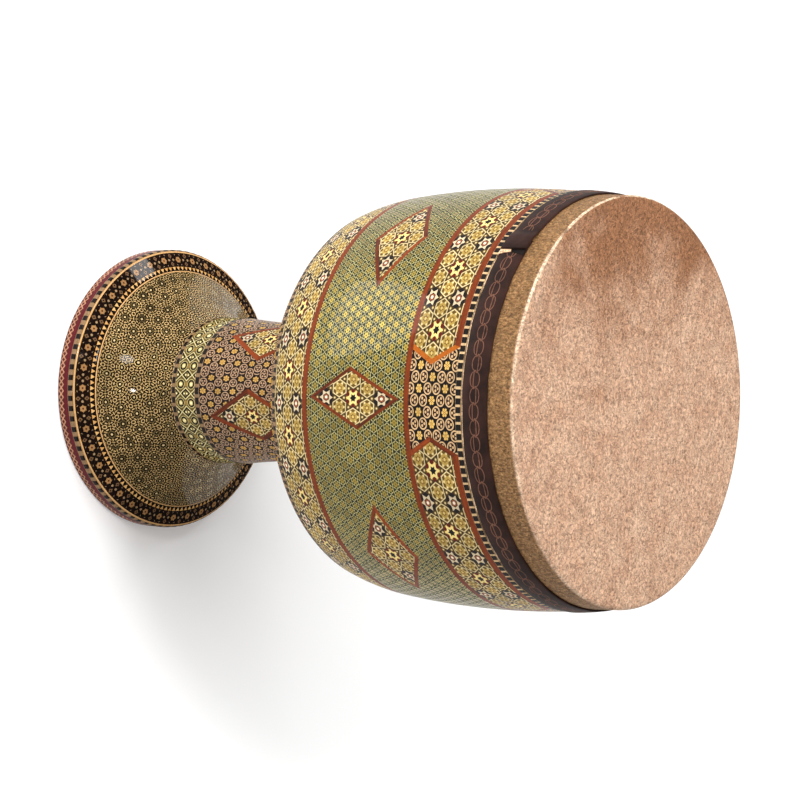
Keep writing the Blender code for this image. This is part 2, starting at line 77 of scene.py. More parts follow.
WHITE = (1.0, 1.0, 1.0, 1.0)
LOG = logging.getLogger("drum")

MATH = "ShaderNodeMath"
VECTOR = "ShaderNodeVectorMath"
MIX = "ShaderNodeMix"
NOISE = "ShaderNodeTexNoise"
RAMP = "ShaderNodeMapRange"


def linear(colour: str) -> tuple[float, ...]:
    """Turn an sRGB hex colour to linear light.

    Args:
        colour: Hex colour such as "#8C6A3B".

    Returns:
        Linear red, green and blue, and an alpha of one.
    """
    parts = [int(colour[place:place + 2], 16) / 255.0 for place in (1, 3, 5)]
    light = [part / 12.92 if part <= 0.04045 else ((part + 0.055) / 1.055) ** 2.4 for part in parts]
    return light[0], light[1], light[2], 1.0


def feed(node: Node, inputs: dict[Any, Any]) -> None:
    """Give a node's inputs their values and links.

    Args:
        node: The node.
        inputs: Value, socket or node for each input, by the input's name or place. A node gives its
            first output.
    """
    for place, value in inputs.items():
        if isinstance(value, Node):
            value = value.outputs[0]
        if isinstance(value, bpy.types.NodeSocket):
            node.id_data.links.new(value, node.inputs[place])
        else:
            node.inputs[place].default_value = value


def add(tree: Tree, kind: str, inputs: dict[Any, Any] | None = None, **settings: Any) -> Node:
    """Add a node with its settings and links.

    Args:
        tree: Tree that gets the node.
        kind: Blender's name for the node.
        inputs: What each of its inputs gets, as for feed.
        **settings: Properties of the node.

    Returns:
        The node.
    """
    node = tree.nodes.new(kind)
    for name, value in settings.items():
        setattr(node, name, value)
    feed(node, inputs or {})
    return node


def around(angle: float, radius: float, height: float) -> Vector:
    """Point at an angle from the front, towards +X."""
    return Vector((radius * math.sin(angle), -radius * math.cos(angle), height))


@dataclass(frozen=True)
class Stretch:
    """One smooth stretch of the outline: an arc, or a straight run where both tilts are the same.

    A tilt is the surface's lean towards the floor, where zero is an upright wall.
    """

    radius: float
    height: float
    begin: float
    end: float
    length: float

    def at(self, run: float) -> Triple:
        """Radius, height and tilt at a run from the stretch's start.

        Args:
            run: Length from the start, in metres.

        Returns:
            Radius, height and tilt.
        """
        if abs(self.end - self.begin) < 1e-9:
            reach = self.radius - run * math.sin(self.begin)
            return reach, self.height - run * math.cos(self.begin), self.begin
        curve = self.length / (self.end - self.begin)
        tilt = self.begin + run / curve
        reach = self.radius + curve * (math.cos(tilt) - math.cos(self.begin))
        return reach, self.height - curve * (math.sin(tilt) - math.sin(self.begin)), tilt


@dataclass
class Outline:
    """The drum's turned outer surface, and the run at which each sheet on it starts and ends."""

    head_height: float = 0.4560
    head_radius: float = 0.1400
    skin_thickness: float = 0.0008
    skin_rounding: float = 0.0030
    skin_glued_height: float = 0.0194
    belly_radius: float = 0.1482
    belly_height: float = 0.3450
    side_curve: float = 0.6200
    skin_edge_height: float = 0.4178
    shoulder_start: float = math.radians(5.6)
    shoulder_turn: float = math.radians(18.6)
    shoulder_curve: float = 0.1500
    underside_slope: float = math.radians(62.0)
    corner_curve: float = 0.0190
    neck_fillet: float = 0.0120
    neck_radius: float = 0.0520
    neck_straight: float = 0.0124
    neck_flare_curve: float = 0.7000
    collar_height: float = 0.0980
    collar_radius: float = 0.0575
    dish_top_height: float = 0.0690
    dish_edge_radius: float = 0.0952
    dish_edge_height: float = 0.0232
    dish_turn: float = math.radians(23.0)
    foot_radius: float = 0.1120
    foot_rim_slope: float = math.radians(23.7)
    foot_rounding: float = 0.0037
    sheet_thickness: float = 0.0012
    floor_clearance: float = 0.0008
    clearance: float = 0.0003
    widths: dict[str, float] = field(default_factory=lambda: {
        "rim_check_strip": 0.0040,
        "front_band": 0.0360,
        "upper_orange_line": 0.0041,
        "green_field": 0.0858,
        "lower_orange_line": 0.0045,
        "shoulder_band": 0.0320,
        "shoulder_check_line": 0.0045,
        "neck_check_line": 0.0048,
        "collar_dot_line": 0.0042,
        "inner_gold_line": 0.0017,
        "sawtooth_ring": 0.0034,
        "foot_rim_band": 0.0124,
        "outer_cream_line": 0.0012,
        "foot_check_line": 0.0053,
        "burgundy_band": 0.0044,
    })

    def __post_init__(self) -> None:
        """Work out the stretches from the skin's edge to the floor, then the stations."""
        tilt = self.side_tilt(self.skin_edge_height)
        self.stretches: list[Stretch] = []
        self.starts: list[float] = [0.0]
        self.corner = (self.side_radius(self.skin_edge_height), self.skin_edge_height)
        self.bend(tilt, self.shoulder_start, self.side_curve)
        self.bend(self.shoulder_start, self.shoulder_turn, self.shoulder_curve)
        self.bend(self.shoulder_turn, self.underside_slope, self.corner_curve)
        fillet_radius = self.neck_radius + self.neck_fillet * (1.0 - math.cos(self.underside_slope))
        self.straight(self.underside_slope, (self.corner[0] - fillet_radius) / math.sin(self.underside_slope))
        self.bend(self.underside_slope, 0.0, self.neck_fillet)
        neck_top = self.starts[-1]
        self.straight(0.0, self.neck_straight)
        flare = math.asin((self.corner[1] - self.collar_height) / self.neck_flare_curve)
        self.bend(0.0, -flare, self.neck_flare_curve)
        collar_top = self.starts[-1]
        spread = self.collar_radius - self.corner[0]
        drop = self.corner[1] - self.dish_top_height
        self.straight(-math.atan2(spread, drop), math.hypot(spread, drop))
        dish_top = self.starts[-1]
        spread = self.dish_edge_radius - self.corner[0]
        drop = self.corner[1] - self.dish_edge_height
        chord_tilt = -math.atan2(spread, drop)
        curve = math.hypot(spread, drop) / (2.0 * math.sin(self.dish_turn / 2.0))
        self.bend(chord_tilt + self.dish_turn / 2.0, chord_tilt - self.dish_turn / 2.0, curve)
        dish_edge = self.starts[-1]
        rim_tilt = self.foot_rim_slope - math.pi / 2.0
        rim = self.foot_radius - self.foot_rounding * (1.0 - math.sin(self.foot_rim_slope)) - self.dish_edge_radius
        self.straight(rim_tilt, rim / math.cos(self.foot_rim_slope))
        self.bend(rim_tilt, 0.0, self.foot_rounding)
        self.straight(0.0, self.corner[1])
        self.stations = self.lay_out(neck_top, collar_top, dish_top, dish_edge)

    def bend(self, begin: float, end: float, curve: float) -> None:
        """Carry the outline on along an arc from one tilt to another."""
        self.carry_on(Stretch(*self.corner, begin, end, curve * abs(end - begin)))

    def straight(self, tilt: float, length: float) -> None:
        """Carry the outline on along a straight run."""
        self.carry_on(Stretch(*self.corner, tilt, tilt, length))

    def carry_on(self, stretch: Stretch) -> None:
        """Add a stretch at the outline's end.

        Args:
            stretch: The stretch.
        """
        self.stretches.append(stretch)
        self.starts.append(self.starts[-1] + stretch.length)
        self.corner = stretch.at(stretch.length)[:2]

    def lay_out(self, neck_top: float, collar_top: float, dish_top: float, dish_edge: float) -> dict[str, Point]:
        """Give every sheet its first and last run.

        Args:
            neck_top: Run at the top of the neck.
            collar_top: Run at the top of the collar.
            dish_top: Run at the top of the foot's hollow flare.
            dish_edge: Run at the lower edge of that flare.

        Returns:
            First and last run of each sheet.
        """
        top = 0.0
        found = {}
        for name in ("rim_check_strip", "front_band", "upper_orange_line", "green_field",
                     "lower_orange_line", "shoulder_band", "shoulder_check_line"):
            found[name] = (top, top + self.widths[name])
            top = found[name][1]
        found["underside_field"] = (top, neck_top)
        found["neck_field"] = (neck_top, collar_top)
        found["neck_check_line"] = (collar_top, collar_top + self.widths["neck_check_line"])
        dots = dish_top - self.widths["collar_dot_line"]
        found["collar_band"] = (found["neck_check_line"][1], dots)
        found["collar_dot_line"] = (dots, dish_top)
        top = dish_edge - self.widths["inner_gold_line"]
        found["dish_field"] = (dish_top, top)
        for name in ("inner_gold_line", "sawtooth_ring", "foot_rim_band", "outer_cream_line",
                     "foot_check_line", "burgundy_band"):
            found[name] = (top, top + self.widths[name])
            top = found[name][1]
        found["foot_edge_band"] = (top, self.starts[-1] - self.floor_clearance)
        return found

    def side_tilt(self, height: float) -> float:
        """Tilt of the bowl's barrel-shaped side at a height."""
        return math.asin((self.belly_height - height) / self.side_curve)

    def side_radius(self, height: float) -> float:
        """Radius of the bowl's barrel-shaped side at a height."""
        return self.belly_radius - self.side_curve * (1.0 - math.cos(self.side_tilt(height)))

    def at(self, run: float) -> Triple:
        """Radius, height and tilt at a run.

        Args:
            run: The run, below zero above the skin's edge.

        Returns:
            Radius, height and tilt.
        """
        place = 0
        while place < len(self.stretches) - 1 and run >= self.starts[place + 1]:
            place += 1
        return self.stretches[place].at(run - self.starts[place])

    def run_at(self, height: float) -> float:
        """Run at a height.

        Args:
            height: Height above the floor.

        Returns:
            The run whose surface has that height.
        """
        low, high = -0.05, self.starts[-1]
        for _ in range(40):
            half = (low + high) / 2.0
            low, high = (half, high) if self.at(half)[1] > height else (low, half)
        return (low + high) / 2.0

    def middle(self, name: str) -> float:
        """Run of the middle of a sheet."""
        return sum(self.stations[name]) / 2.0

    def girth(self, name: str) -> float:
        """Radius at the middle of a sheet."""
        return self.at(self.middle(name))[0]

    def place(self, angle: float, run: float, depth: float = 0.0) -> Vector:
        """Point under the surface at a depth, or over it where the depth is negative."""
        radius, height, tilt = self.at(run)
        return around(angle, radius - depth * math.cos(tilt), height + depth * math.sin(tilt))

    def normal(self, angle: float, run: float) -> Vector:
        """Outward direction of the surface."""
        tilt = self.at(run)[2]
        return around(angle, math.cos(tilt), -math.sin(tilt))


OUTLINE = Outline()


class Form(Enum):
    """Shape of one layer of a cell in a marquetry pattern."""

    STAR = "six points towards the neighbouring cells"
    STAR_BETWEEN = "six points towards the gaps between cells"
    HEXAGON = "six corners towards the neighbouring cells"
    DISC = "round, in the cell's middle"
    DOTS = "small rounds in a ring"
    DIAMONDS = "small diamonds in a ring"
    CROSS = "two crossed lines, both at 45 degrees to the rows"


STAR, STAR_BETWEEN, HEXAGON, DISC, DOTS, DIAMONDS, CROSS = Form

# Direction, in degrees, that a straight edge of each form faces, and its distance for a size of one
EDGE = {
    STAR: (60.0, 0.5),
    STAR_BETWEEN: (-30.0, 0.5),
    HEXAGON: (30.0, ROW_SHARE),
}


@dataclass(frozen=True)
class Layer:
    """One colour of a cell: its form, its size as a share of the pitch, and where its dots are.

    Dots lie on a ring at a turn in degrees, and may be longer along their ring's radius.
    """

    form: Form
    size: float
    colour: str
    brass: bool = False
    ring: float = 0.0
    turn: float = 0.0
    stretch: float = 1.0


@dataclass(frozen=True)
class Cell:
    """A cell of the pattern, and where it stands in the lattice: its column and its row."""

    layers: tuple[Layer, ...]
    column: float = 0.0
    row: float = 0.0


# Farther than any pattern reaches, in pitches: the repeat of stars that come only once
FAR = 400.0


@dataclass(frozen=True)
class Lattice:
    """Spacing of a pattern's cells: pitch along a row, distance between rows, and repeat of its stars."""

    pitch: float
    row: float
    turned: bool = False
    square: bool = False
    repeat: float = FAR


@dataclass(frozen=True)
class Finish:
    """A procedural material and the record's slot that it belongs to."""

    name: str
    slot: str

    def material(self) -> bpy.types.Material:
        """The material, made once and shared by the pieces that have it.

        Returns:
            The material.
        """
        found = bpy.data.materials.get(self.name)
        if found is None:
            found = bpy.data.materials.new(self.name)
            found.use_nodes = True
            tree = found.node_tree
            self.paint(tree, tree.nodes["Principled BSDF"])
        return found

    def paint(self, tree: Tree, shader: Node) -> None:
        """Build the shader's nodes."""
        raise NotImplementedError


def lacquer(tree: Tree, shader: Node, sheet: Any, rise: float) -> None:
    """Give a shader the clear lacquer that the marquetry is finished with.

    The gloss comes from the lacquer alone, because the wood under it is sealed and has none. Hand
    rubbing left faint waves in it, about 9 mm apart.

    Args:
        tree: The material's tree.
        shader: Its shader.
        sheet: Coordinates in metres.
        rise: Height of the waves in metres.
    """
    waves = add(tree, NOISE, {"Vector": sheet, "Scale": 110.0, "Detail": 2.0})
    bump = add(tree, "ShaderNodeBump", {"Height": waves, "Strength": 1.0, "Distance": rise})
    feed(shader, {"Specular IOR Level": 0.0, "Coat Weight": 0.32, "Coat Roughness": 0.06, "Coat IOR": 1.45,
                  "Normal": bump, "Coat Normal": bump})


@dataclass(frozen=True)
class Khatam(Finish):
    """Khatam marquetry: thin slices of bundled rods of wood, bone and brass, glued and lacquered.

    The rods are triangular, so their slices make stars and hexagons. Brass rods shine, and the
    clear lacquer over them gives one smooth gloss. No two bundles match, so each cell has its tone.
    """

    lattice: Lattice
    ground: str
    between: tuple[Layer, ...]
    cells: tuple[Cell, ...]
    wander: float = 0.00035
    tone: Point = (0.84, 1.14)

    def cell_space(self, tree: Tree) -> tuple[Any, Any, Any]:
        """Find the cell that a point of the sheet is in.

        Args:
            tree: The material's tree.

        Returns:
            The sheet's coordinates in metres, the point seen from the middle of its cell in
            pitches, and the middle of its cell in pitches and rows.
        """
        sheet = add(tree, "ShaderNodeUVMap", uv_map="sheet")
        # Rods wander by a few tenths of a millimetre where a bundle was pressed
        drift = add(tree, NOISE, {"Vector": sheet, "Scale": 70.0, "Detail": 1.0}, noise_dimensions="2D")
        centred = add(tree, VECTOR, {0: drift.outputs["Color"], 1: (0.5, 0.5, 0.5)}, operation="SUBTRACT")
        reach = (2.0 * self.wander, 2.0 * self.wander, 0.0)
        moved = add(tree, VECTOR, {0: centred, 1: reach, 2: sheet}, operation="MULTIPLY_ADD")
        if self.lattice.turned:
            moved = add(tree, "ShaderNodeMapping", {"Vector": moved, "Rotation": (0.0, 0.0, math.pi / 2.0)})
        share = 1.0 if self.lattice.square else ROW_SHARE
        scale = (1.0 / self.lattice.pitch, share / self.lattice.row, 0.0)
        spot = add(tree, VECTOR, {0: moved, 1: scale}, operation="MULTIPLY")
        if self.lattice.square:
            most, least = (0.5, 0.5, 1.0), (-0.5, -0.5, -1.0)
            local = add(tree, VECTOR, {0: spot, 1: most, 2: least}, operation="WRAP")
            centre = add(tree, VECTOR, {0: spot, 1: local}, operation="SUBTRACT")
            true = (1.0, self.lattice.row / self.lattice.pitch, 0.0)
            local = add(tree, VECTOR, {0: local, 1: true}, operation="MULTIPLY")
            return sheet, local, centre
        most, least = (0.5, ROW_SHARE, 1.0), (-0.5, -ROW_SHARE, -1.0)
        even = add(tree, VECTOR, {0: spot, 1: most, 2: least}, operation="WRAP")
        shifted = add(tree, VECTOR, {0: spot, 1: (0.5, ROW_SHARE, 0.0)}, operation="ADD")
        odd = add(tree, VECTOR, {0: shifted, 1: most, 2: least}, operation="WRAP")
        far = add(tree, VECTOR, {0: even}, operation="LENGTH").outputs["Value"]
        near = add(tree, VECTOR, {0: odd}, operation="LENGTH").outputs["Value"]
        is_odd = add(tree, MATH, {0: near, 1: far}, operation="LESS_THAN")
        local = add(tree, MIX, {0: is_odd, 4: even, 5: odd}, data_type="VECTOR").outputs[1]
        centre = add(tree, VECTOR, {0: spot, 1: local}, operation="SUBTRACT")
        return sheet, local, centre

    def fold(self, tree: Tree, local: Any) -> Any:
        """Fold a cell six times, so that one twelfth of it says what the whole cell holds.

        Args:
            tree: The material's tree.
            local: The point seen from the middle of its cell.

        Returns:
            The folded point, which lies from 0 to 30 degrees.
        """
        quarter = add(tree, VECTOR, {0: local}, operation="ABSOLUTE")
        mirror = (-0.5, ROW_SHARE, 0.0)
        over = add(tree, VECTOR, {0: quarter, 1: mirror}, operation="DOT_PRODUCT").outputs["Value"]
        past = add(tree, MATH, {0: over, 1: 0.0}, operation="MAXIMUM")
        twice = add(tree, MATH, {0: past, 1: -2.0}, operation="MULTIPLY")
        step = add(tree, VECTOR, {0: mirror, "Scale": twice}, operation="SCALE")
        folded = add(tree, VECTOR, {0: quarter, 1: step}, operation="ADD")
        return add(tree, VECTOR, {0: folded}, operation="ABSOLUTE")

    def inside(self, tree: Tree, layer: Layer, local: Any, folded: Any) -> Any:
        """Tell whether a point lies in a layer.

        Args:
            tree: The material's tree.
            layer: The layer.
            local: The point seen from the middle of its cell.
            folded: The same point, folded.

        Returns:
            A node that gives one inside the layer and zero outside it.
        """
        limit = layer.size
        spot = add(tree, VECTOR, {0: local}, operation="ABSOLUTE") if self.lattice.square else folded
        turn = math.radians(layer.turn)
        dot = (layer.ring * math.cos(turn), layer.ring * math.sin(turn), 0.0)
        if layer.form is DISC:
            reach = add(tree, VECTOR, {0: folded}, operation="LENGTH").outputs["Value"]
        elif layer.form is DOTS:
            seen = add(tree, "ShaderNodeMapping", {"Vector": spot, "Location": dot, "Rotation": (0.0, 0.0, turn),
                                                   "Scale": (layer.stretch, 1.0, 1.0)}, vector_type="TEXTURE")
            reach = add(tree, VECTOR, {0: seen}, operation="LENGTH").outputs["Value"]
        elif layer.form in (DIAMONDS, CROSS):
            crossed = layer.form is CROSS
            seen = add(tree, VECTOR, {0: spot, 1: dot}, operation="SUBTRACT")
            quarter = add(tree, VECTOR, {0: seen}, operation="ABSOLUTE")
            across = (math.sqrt(0.5), -math.sqrt(0.5), 0.0) if crossed else (1.0, 1.0 / layer.stretch, 0.0)
            reach = add(tree, VECTOR, {0: quarter, 1: across}, operation="DOT_PRODUCT").outputs["Value"]
            if crossed:
                reach = add(tree, MATH, {0: reach}, operation="ABSOLUTE")
        else:
            facing, share = EDGE[layer.form]
            turn = math.radians(facing)
            edge = (math.cos(turn), math.sin(turn), 0.0)
            reach = add(tree, VECTOR, {0: folded, 1: edge}, operation="DOT_PRODUCT").outputs["Value"]
            limit = layer.size * share
        return add(tree, MATH, {0: reach, 1: limit}, operation="LESS_THAN")

    def stack(self, tree: Tree, layers: Sequence[Layer], local: Any, folded: Any,
              colour: Any, metal: Any) -> tuple[Any, Any]:
        """Lay a cell's layers over what is there, from the widest to the smallest.

        Args:
            tree: The material's tree.
            layers: The layers, widest first.
            local: The point seen from the middle of its cell.
            folded: The same point, folded.
            colour: Colour under the layers.
            metal: Share of metal under the layers.

        Returns:
            The colour and the share of metal.
        """
        for layer in layers:
            mask = self.inside(tree, layer, local, folded)
            colour = add(tree, MIX, {0: mask, 6: colour, 7: linear(layer.colour)}, data_type="RGBA").outputs[2]
            metal = add(tree, MIX, {0: mask, 2: metal, 3: 1.0 if layer.brass else 0.0}).outputs[0]
        return colour, metal

    def paint(self, tree: Tree, shader: Node) -> None:
        """Build the pattern and its gloss.

        Args:
            tree: The material's tree.
            shader: Its shader.
        """
        sheet, local, centre = self.cell_space(tree)
        folded = self.fold(tree, local)
        colour, metal = self.stack(tree, self.between, local, folded, linear(self.ground), 0.0)
        share = 1.0 if self.lattice.square else ROW_SHARE
        ground = (colour, metal)
        for place, cell in enumerate(self.cells):
            cell_colour, cell_metal = self.stack(tree, cell.layers, local, folded, *ground)
            if place == 0:
                colour, metal = cell_colour, cell_metal
                continue
            half = self.lattice.repeat / 2.0
            quarter = add(tree, VECTOR, {0: centre}, operation="ABSOLUTE")
            home = (cell.column, cell.row * share, 0.0)
            away = add(tree, VECTOR, {0: quarter, 1: home}, operation="SUBTRACT")
            box = {0: away, 1: (half, FAR, 1.0), 2: (-half, -FAR, -1.0)}
            wrapped = add(tree, VECTOR, box, operation="WRAP")
            far = add(tree, VECTOR, {0: wrapped}, operation="LENGTH").outputs["Value"]
            here = add(tree, MATH, {0: far, 1: 0.3}, operation="LESS_THAN")
            colour = add(tree, MIX, {0: here, 6: colour, 7: cell_colour}, data_type="RGBA").outputs[2]
            metal = add(tree, MIX, {0: here, 2: metal, 3: cell_metal}).outputs[0]
        # One tone for each cell, found from its middle, and the fine streaks of cut wood and bone
        nudged = add(tree, VECTOR, {0: centre, 1: (0.1, 0.1, 0.0)}, operation="ADD")
        steady = add(tree, VECTOR, {0: nudged, 1: (0.5, share / 2.0, 1.0)}, operation="SNAP")
        chance = add(tree, "ShaderNodeTexWhiteNoise", {"Vector": steady}, noise_dimensions="2D")
        tone = add(tree, RAMP, {0: chance, 3: self.tone[0], 4: self.tone[1]})
        streaks = add(tree, NOISE, {"Vector": sheet, "Scale": 2600.0, "Detail": 2.0}, noise_dimensions="2D")
        streak = add(tree, RAMP, {0: streaks, 3: 0.72, 4: 1.28})
        value = add(tree, MATH, {0: tone, 1: streak}, operation="MULTIPLY")
        toned = add(tree, "ShaderNodeHueSaturation", {"Value": value, "Color": colour})
        feed(shader, {"Base Color": toned, "Metallic": metal, "Roughness": 0.34})
        lacquer(tree, shader, sheet, 0.000035)


# Tone of a strip that is a brighter amber
AMBER_TONE = 1.4


@dataclass(frozen=True)
class LacqueredWood(Finish):
    """Dyed wood veneer, cut in strips along its grain and lacquered.

    The dye sinks in unevenly, so each strip has its own tone and dark pores along its length. A
    tone over one makes a strip a brighter amber.
    """

    light: str = "#8C3A0C"
    dark: str = "#3E1404"
    pore: str = "#220A02"
    pores: float = 0.6
    rise: float = 0.00003
    amber: str = "#AC5A14"

    def paint(self, tree: Tree, shader: Node) -> None:
        """Build the grain, the tone of each strip and the gloss.

        Args:
            tree: The material's tree.
            shader: Its shader.
        """
        sheet = add(tree, "ShaderNodeUVMap", uv_map="sheet")
        long = add(tree, VECTOR, {0: sheet, 1: (60.0, 900.0, 1.0)}, operation="MULTIPLY")
        grain = add(tree, NOISE, {"Vector": long, "Scale": 1.0, "Detail": 3.0}, noise_dimensions="2D")
        tone = add(tree, "ShaderNodeAttribute", attribute_name="tone")
        both = add(tree, MATH, {0: tone.outputs["Fac"], 1: 0.75, 2: grain}, operation="MULTIPLY_ADD")
        mixed = add(tree, RAMP, {0: both, 1: 0.3, 2: 1.25})
        wood = add(tree, MIX, {0: mixed, 6: linear(self.dark), 7: linear(self.light)}, data_type="RGBA").outputs[2]
        pale = add(tree, RAMP, {0: tone.outputs["Fac"], 1: 1.0, 2: AMBER_TONE})
        wood = add(tree, MIX, {0: pale, 6: wood, 7: linear(self.amber)}, data_type="RGBA").outputs[2]
        fine = add(tree, VECTOR, {0: sheet, 1: (260.0, 4200.0, 1.0)}, operation="MULTIPLY")
        specks = add(tree, NOISE, {"Vector": fine, "Scale": 1.0, "Detail": 1.0}, noise_dimensions="2D")
        holes = add(tree, RAMP, {0: specks, 1: 0.60, 2: 0.72, 3: 0.0, 4: self.pores})
        done = add(tree, MIX, {0: holes, 6: wood, 7: linear(self.pore)}, data_type="RGBA")
        feed(shader, {"Base Color": done.outputs[2], "Roughness": 0.38})
        lacquer(tree, shader, sheet, self.rise)


@dataclass(frozen=True)
class Walnut(Finish):
    """Turned walnut, left bare inside: brown with darker year rings and fine open pores."""

    light: str = "#8A5C3B"
    dark: str = "#4B2D1A"
    pore: str = "#24140B"

    def paint(self, tree: Tree, shader: Node) -> None:
        """Build the year rings, the pores and a dry surface.

        Args:
            tree: The material's tree.
            shader: Its shader.
        """
        place = add(tree, "ShaderNodeTexCoord").outputs["Object"]
        heart = add(tree, "ShaderNodeMapping", {"Vector": place, "Location": (0.21, 0.06, 0.0),
                                                "Scale": (1.0, 1.0, 0.12)})
        # Year rings about 5 mm apart, seen on a log whose heart lies beside the drum
        rings = add(tree, "ShaderNodeTexWave", {"Vector": heart, "Scale": 32.0, "Distortion": 5.0,
                                                "Detail": 2.0, "Detail Scale": 1.4},
                    wave_type="RINGS", rings_direction="Z")
        wood = add(tree, MIX, {0: rings, 6: linear(self.light), 7: linear(self.dark)}, data_type="RGBA").outputs[2]
        stretched = add(tree, VECTOR, {0: place, 1: (2200.0, 2200.0, 120.0)}, operation="MULTIPLY")
        pores = add(tree, NOISE, {"Vector": stretched, "Scale": 1.0, "Detail": 1.0})
        holes = add(tree, RAMP, {0: pores, 1: 0.58, 2: 0.70, 3: 0.0, 4: 0.6})
        done = add(tree, MIX, {0: holes, 6: wood, 7: linear(self.pore)}, data_type="RGBA")
        bump = add(tree, "ShaderNodeBump", {"Height": holes, "Strength": 1.0, "Distance": -0.0001})
        feed(shader, {"Base Color": done.outputs[2], "Roughness": 0.62, "Normal": bump})


@dataclass(frozen=True)
class Goatskin(Finish):
    """Goatskin, scraped and dried taut: matt, blotched in browns, with a close worm-like grain.

    Its side is darker, partly its own colour where it lies glued on the wood and partly painted shade.
    Its bend has a pale painted highlight, and its cut edge is pale.
    """

    fair: str = "#C4A186"
    tan: str = "#B48D72"
    brown: str = "#8E6244"
    side: str = "#684624"
    side_fair: str = "#9C764C"
    painted_highlight: str = "#F2DCBC"
    cut: str = "#F6D0A6"
    bend_height: float = 0.4547
    fade: float = 0.0020
    highlight_reach: float = 0.0007
    cut_height: float = 0.4194

    def paint(self, tree: Tree, shader: Node) -> None:
        """Build the blotches, the grain, the darker side and the pale edges.

        Args:
            tree: The material's tree.
            shader: Its shader.
        """
        place = add(tree, "ShaderNodeTexCoord").outputs["Object"]
        axes = add(tree, "ShaderNodeSeparateXYZ", {0: place})
        # Blotches 20 to 60 mm wide, closer and browner towards the -X side
        wide = add(tree, NOISE, {"Vector": place, "Scale": 14.0, "Detail": 4.0, "Roughness": 0.6, "Distortion": 0.3})
        minus_x_browning = add(tree, RAMP, {0: axes.outputs["X"], 1: 0.02, 2: -0.15, 3: -0.12, 4: 0.30})
        browner = add(tree, MATH, {0: wide, 1: minus_x_browning}, operation="ADD")
        blotch = add(tree, RAMP, {0: browner, 1: 0.46, 2: 0.80}, interpolation_type="SMOOTHSTEP")
        small = add(tree, NOISE, {"Vector": place, "Scale": 55.0, "Detail": 5.0, "Roughness": 0.7})
        patch = add(tree, RAMP, {0: small, 1: 0.36, 2: 0.64})
        flat = add(tree, MIX, {0: patch, 6: linear(self.tan), 7: linear(self.fair)}, data_type="RGBA").outputs[2]
        flat = add(tree, MIX, {0: blotch, 6: flat, 7: linear(self.brown)}, data_type="RGBA").outputs[2]
        # Grain ridges about 1.2 mm apart
        grain = add(tree, NOISE, {"Vector": place, "Scale": 430.0, "Detail": 2.0, "Roughness": 0.75, "Distortion": 1.2})
        # Fibres on the side about 1 mm wide, longer down it than round it
        strands = add(tree, VECTOR, {0: place, 1: (1.0, 1.0, 0.4)}, operation="MULTIPLY")
        fur = add(tree, NOISE, {"Vector": strands, "Scale": 900.0, "Detail": 2.0, "Roughness": 0.7, "Distortion": 0.6})
        tuft = add(tree, RAMP, {0: fur, 1: 0.36, 2: 0.64})
        # The side's darker colours are partly the skin's own and partly painted shade
        side = add(tree, MIX, {0: tuft, 6: linear(self.side), 7: linear(self.side_fair)}, data_type="RGBA").outputs[2]
        height = axes.outputs["Z"]
        up = add(tree, RAMP, {0: height, 1: self.bend_height - self.fade, 2: self.bend_height})
        skin = add(tree, MIX, {0: up, 6: side, 7: flat}, data_type="RGBA").outputs[2]
        # Painted highlight: a pale ragged line along the skin's bend
        off = add(tree, MATH, {0: height, 1: self.bend_height, 2: self.highlight_reach}, operation="COMPARE")
        # The painted highlight is stronger on the -X side, and weaker on the other
        highlight_side = add(tree, RAMP, {0: axes.outputs["X"], 1: -0.06, 2: 0.06, 3: 0.85, 4: 0.25})
        ragged = add(tree, MATH, {0: patch, 1: highlight_side}, operation="MULTIPLY")
        bend_highlight = add(tree, MATH, {0: off, 1: ragged}, operation="MULTIPLY")
        skin = add(tree, MIX, {0: bend_highlight, 6: skin, 7: linear(self.painted_highlight)}, data_type="RGBA").outputs[2]
        low = add(tree, MATH, {0: height, 1: self.cut_height}, operation="LESS_THAN")
        skin = add(tree, MIX, {0: low, 6: skin, 7: linear(self.cut)}, data_type="RGBA").outputs[2]
        speck = add(tree, RAMP, {0: grain, 1: 0.34, 2: 0.66, 3: 0.46, 4: 1.50})
        toned = add(tree, "ShaderNodeHueSaturation", {"Value": speck, "Color": skin})
        bump = add(tree, "ShaderNodeBump", {"Height": grain, "Strength": 1.0, "Distance": 0.0011})
        feed(shader, {"Base Color": toned, "Roughness": 0.66, "Specular IOR Level": 0.25, "Normal": bump})


@dataclass(frozen=True)
class Leather(Finish):
    """Vegetable-tanned leather, dyed dark brown and embossed: a dull gloss over a fine grain."""

    light: str = "#38201A"
    dark: str = "#1E110C"
    worn: float = 0.0

    def paint(self, tree: Tree, shader: Node) -> None:
        """Build the grain and the uneven dye.

        Args:
            tree: The material's tree.
            shader: Its shader.
        """
        place = add(tree, "ShaderNodeTexCoord").outputs["Object"]
        clouds = add(tree, NOISE, {"Vector": place, "Scale": 60.0, "Detail": 4.0, "Roughness": 0.6})
        dye = add(tree, RAMP, {0: clouds, 1: 0.35, 2: 0.70, 3: self.worn, 4: 1.0})
        hide = add(tree, MIX, {0: dye, 6: linear(self.dark), 7: linear(self.light)}, data_type="RGBA")
        # Grain pebbles about 0.5 mm wide
        grain = add(tree, "ShaderNodeTexVoronoi", {"Vector": place, "Scale": 1500.0}, feature="SMOOTH_F1")
        bump = add(tree, "ShaderNodeBump", {"Height": grain, "Strength": 0.6, "Distance": 0.00010})
        feed(shader, {"Base Color": hide.outputs[2], "Roughness": 0.60, "Specular IOR Level": 0.14,
                      "Normal": bump})


# Distance from a cell's middle to the place where it meets two others, in pitches
MEETING = 0.577

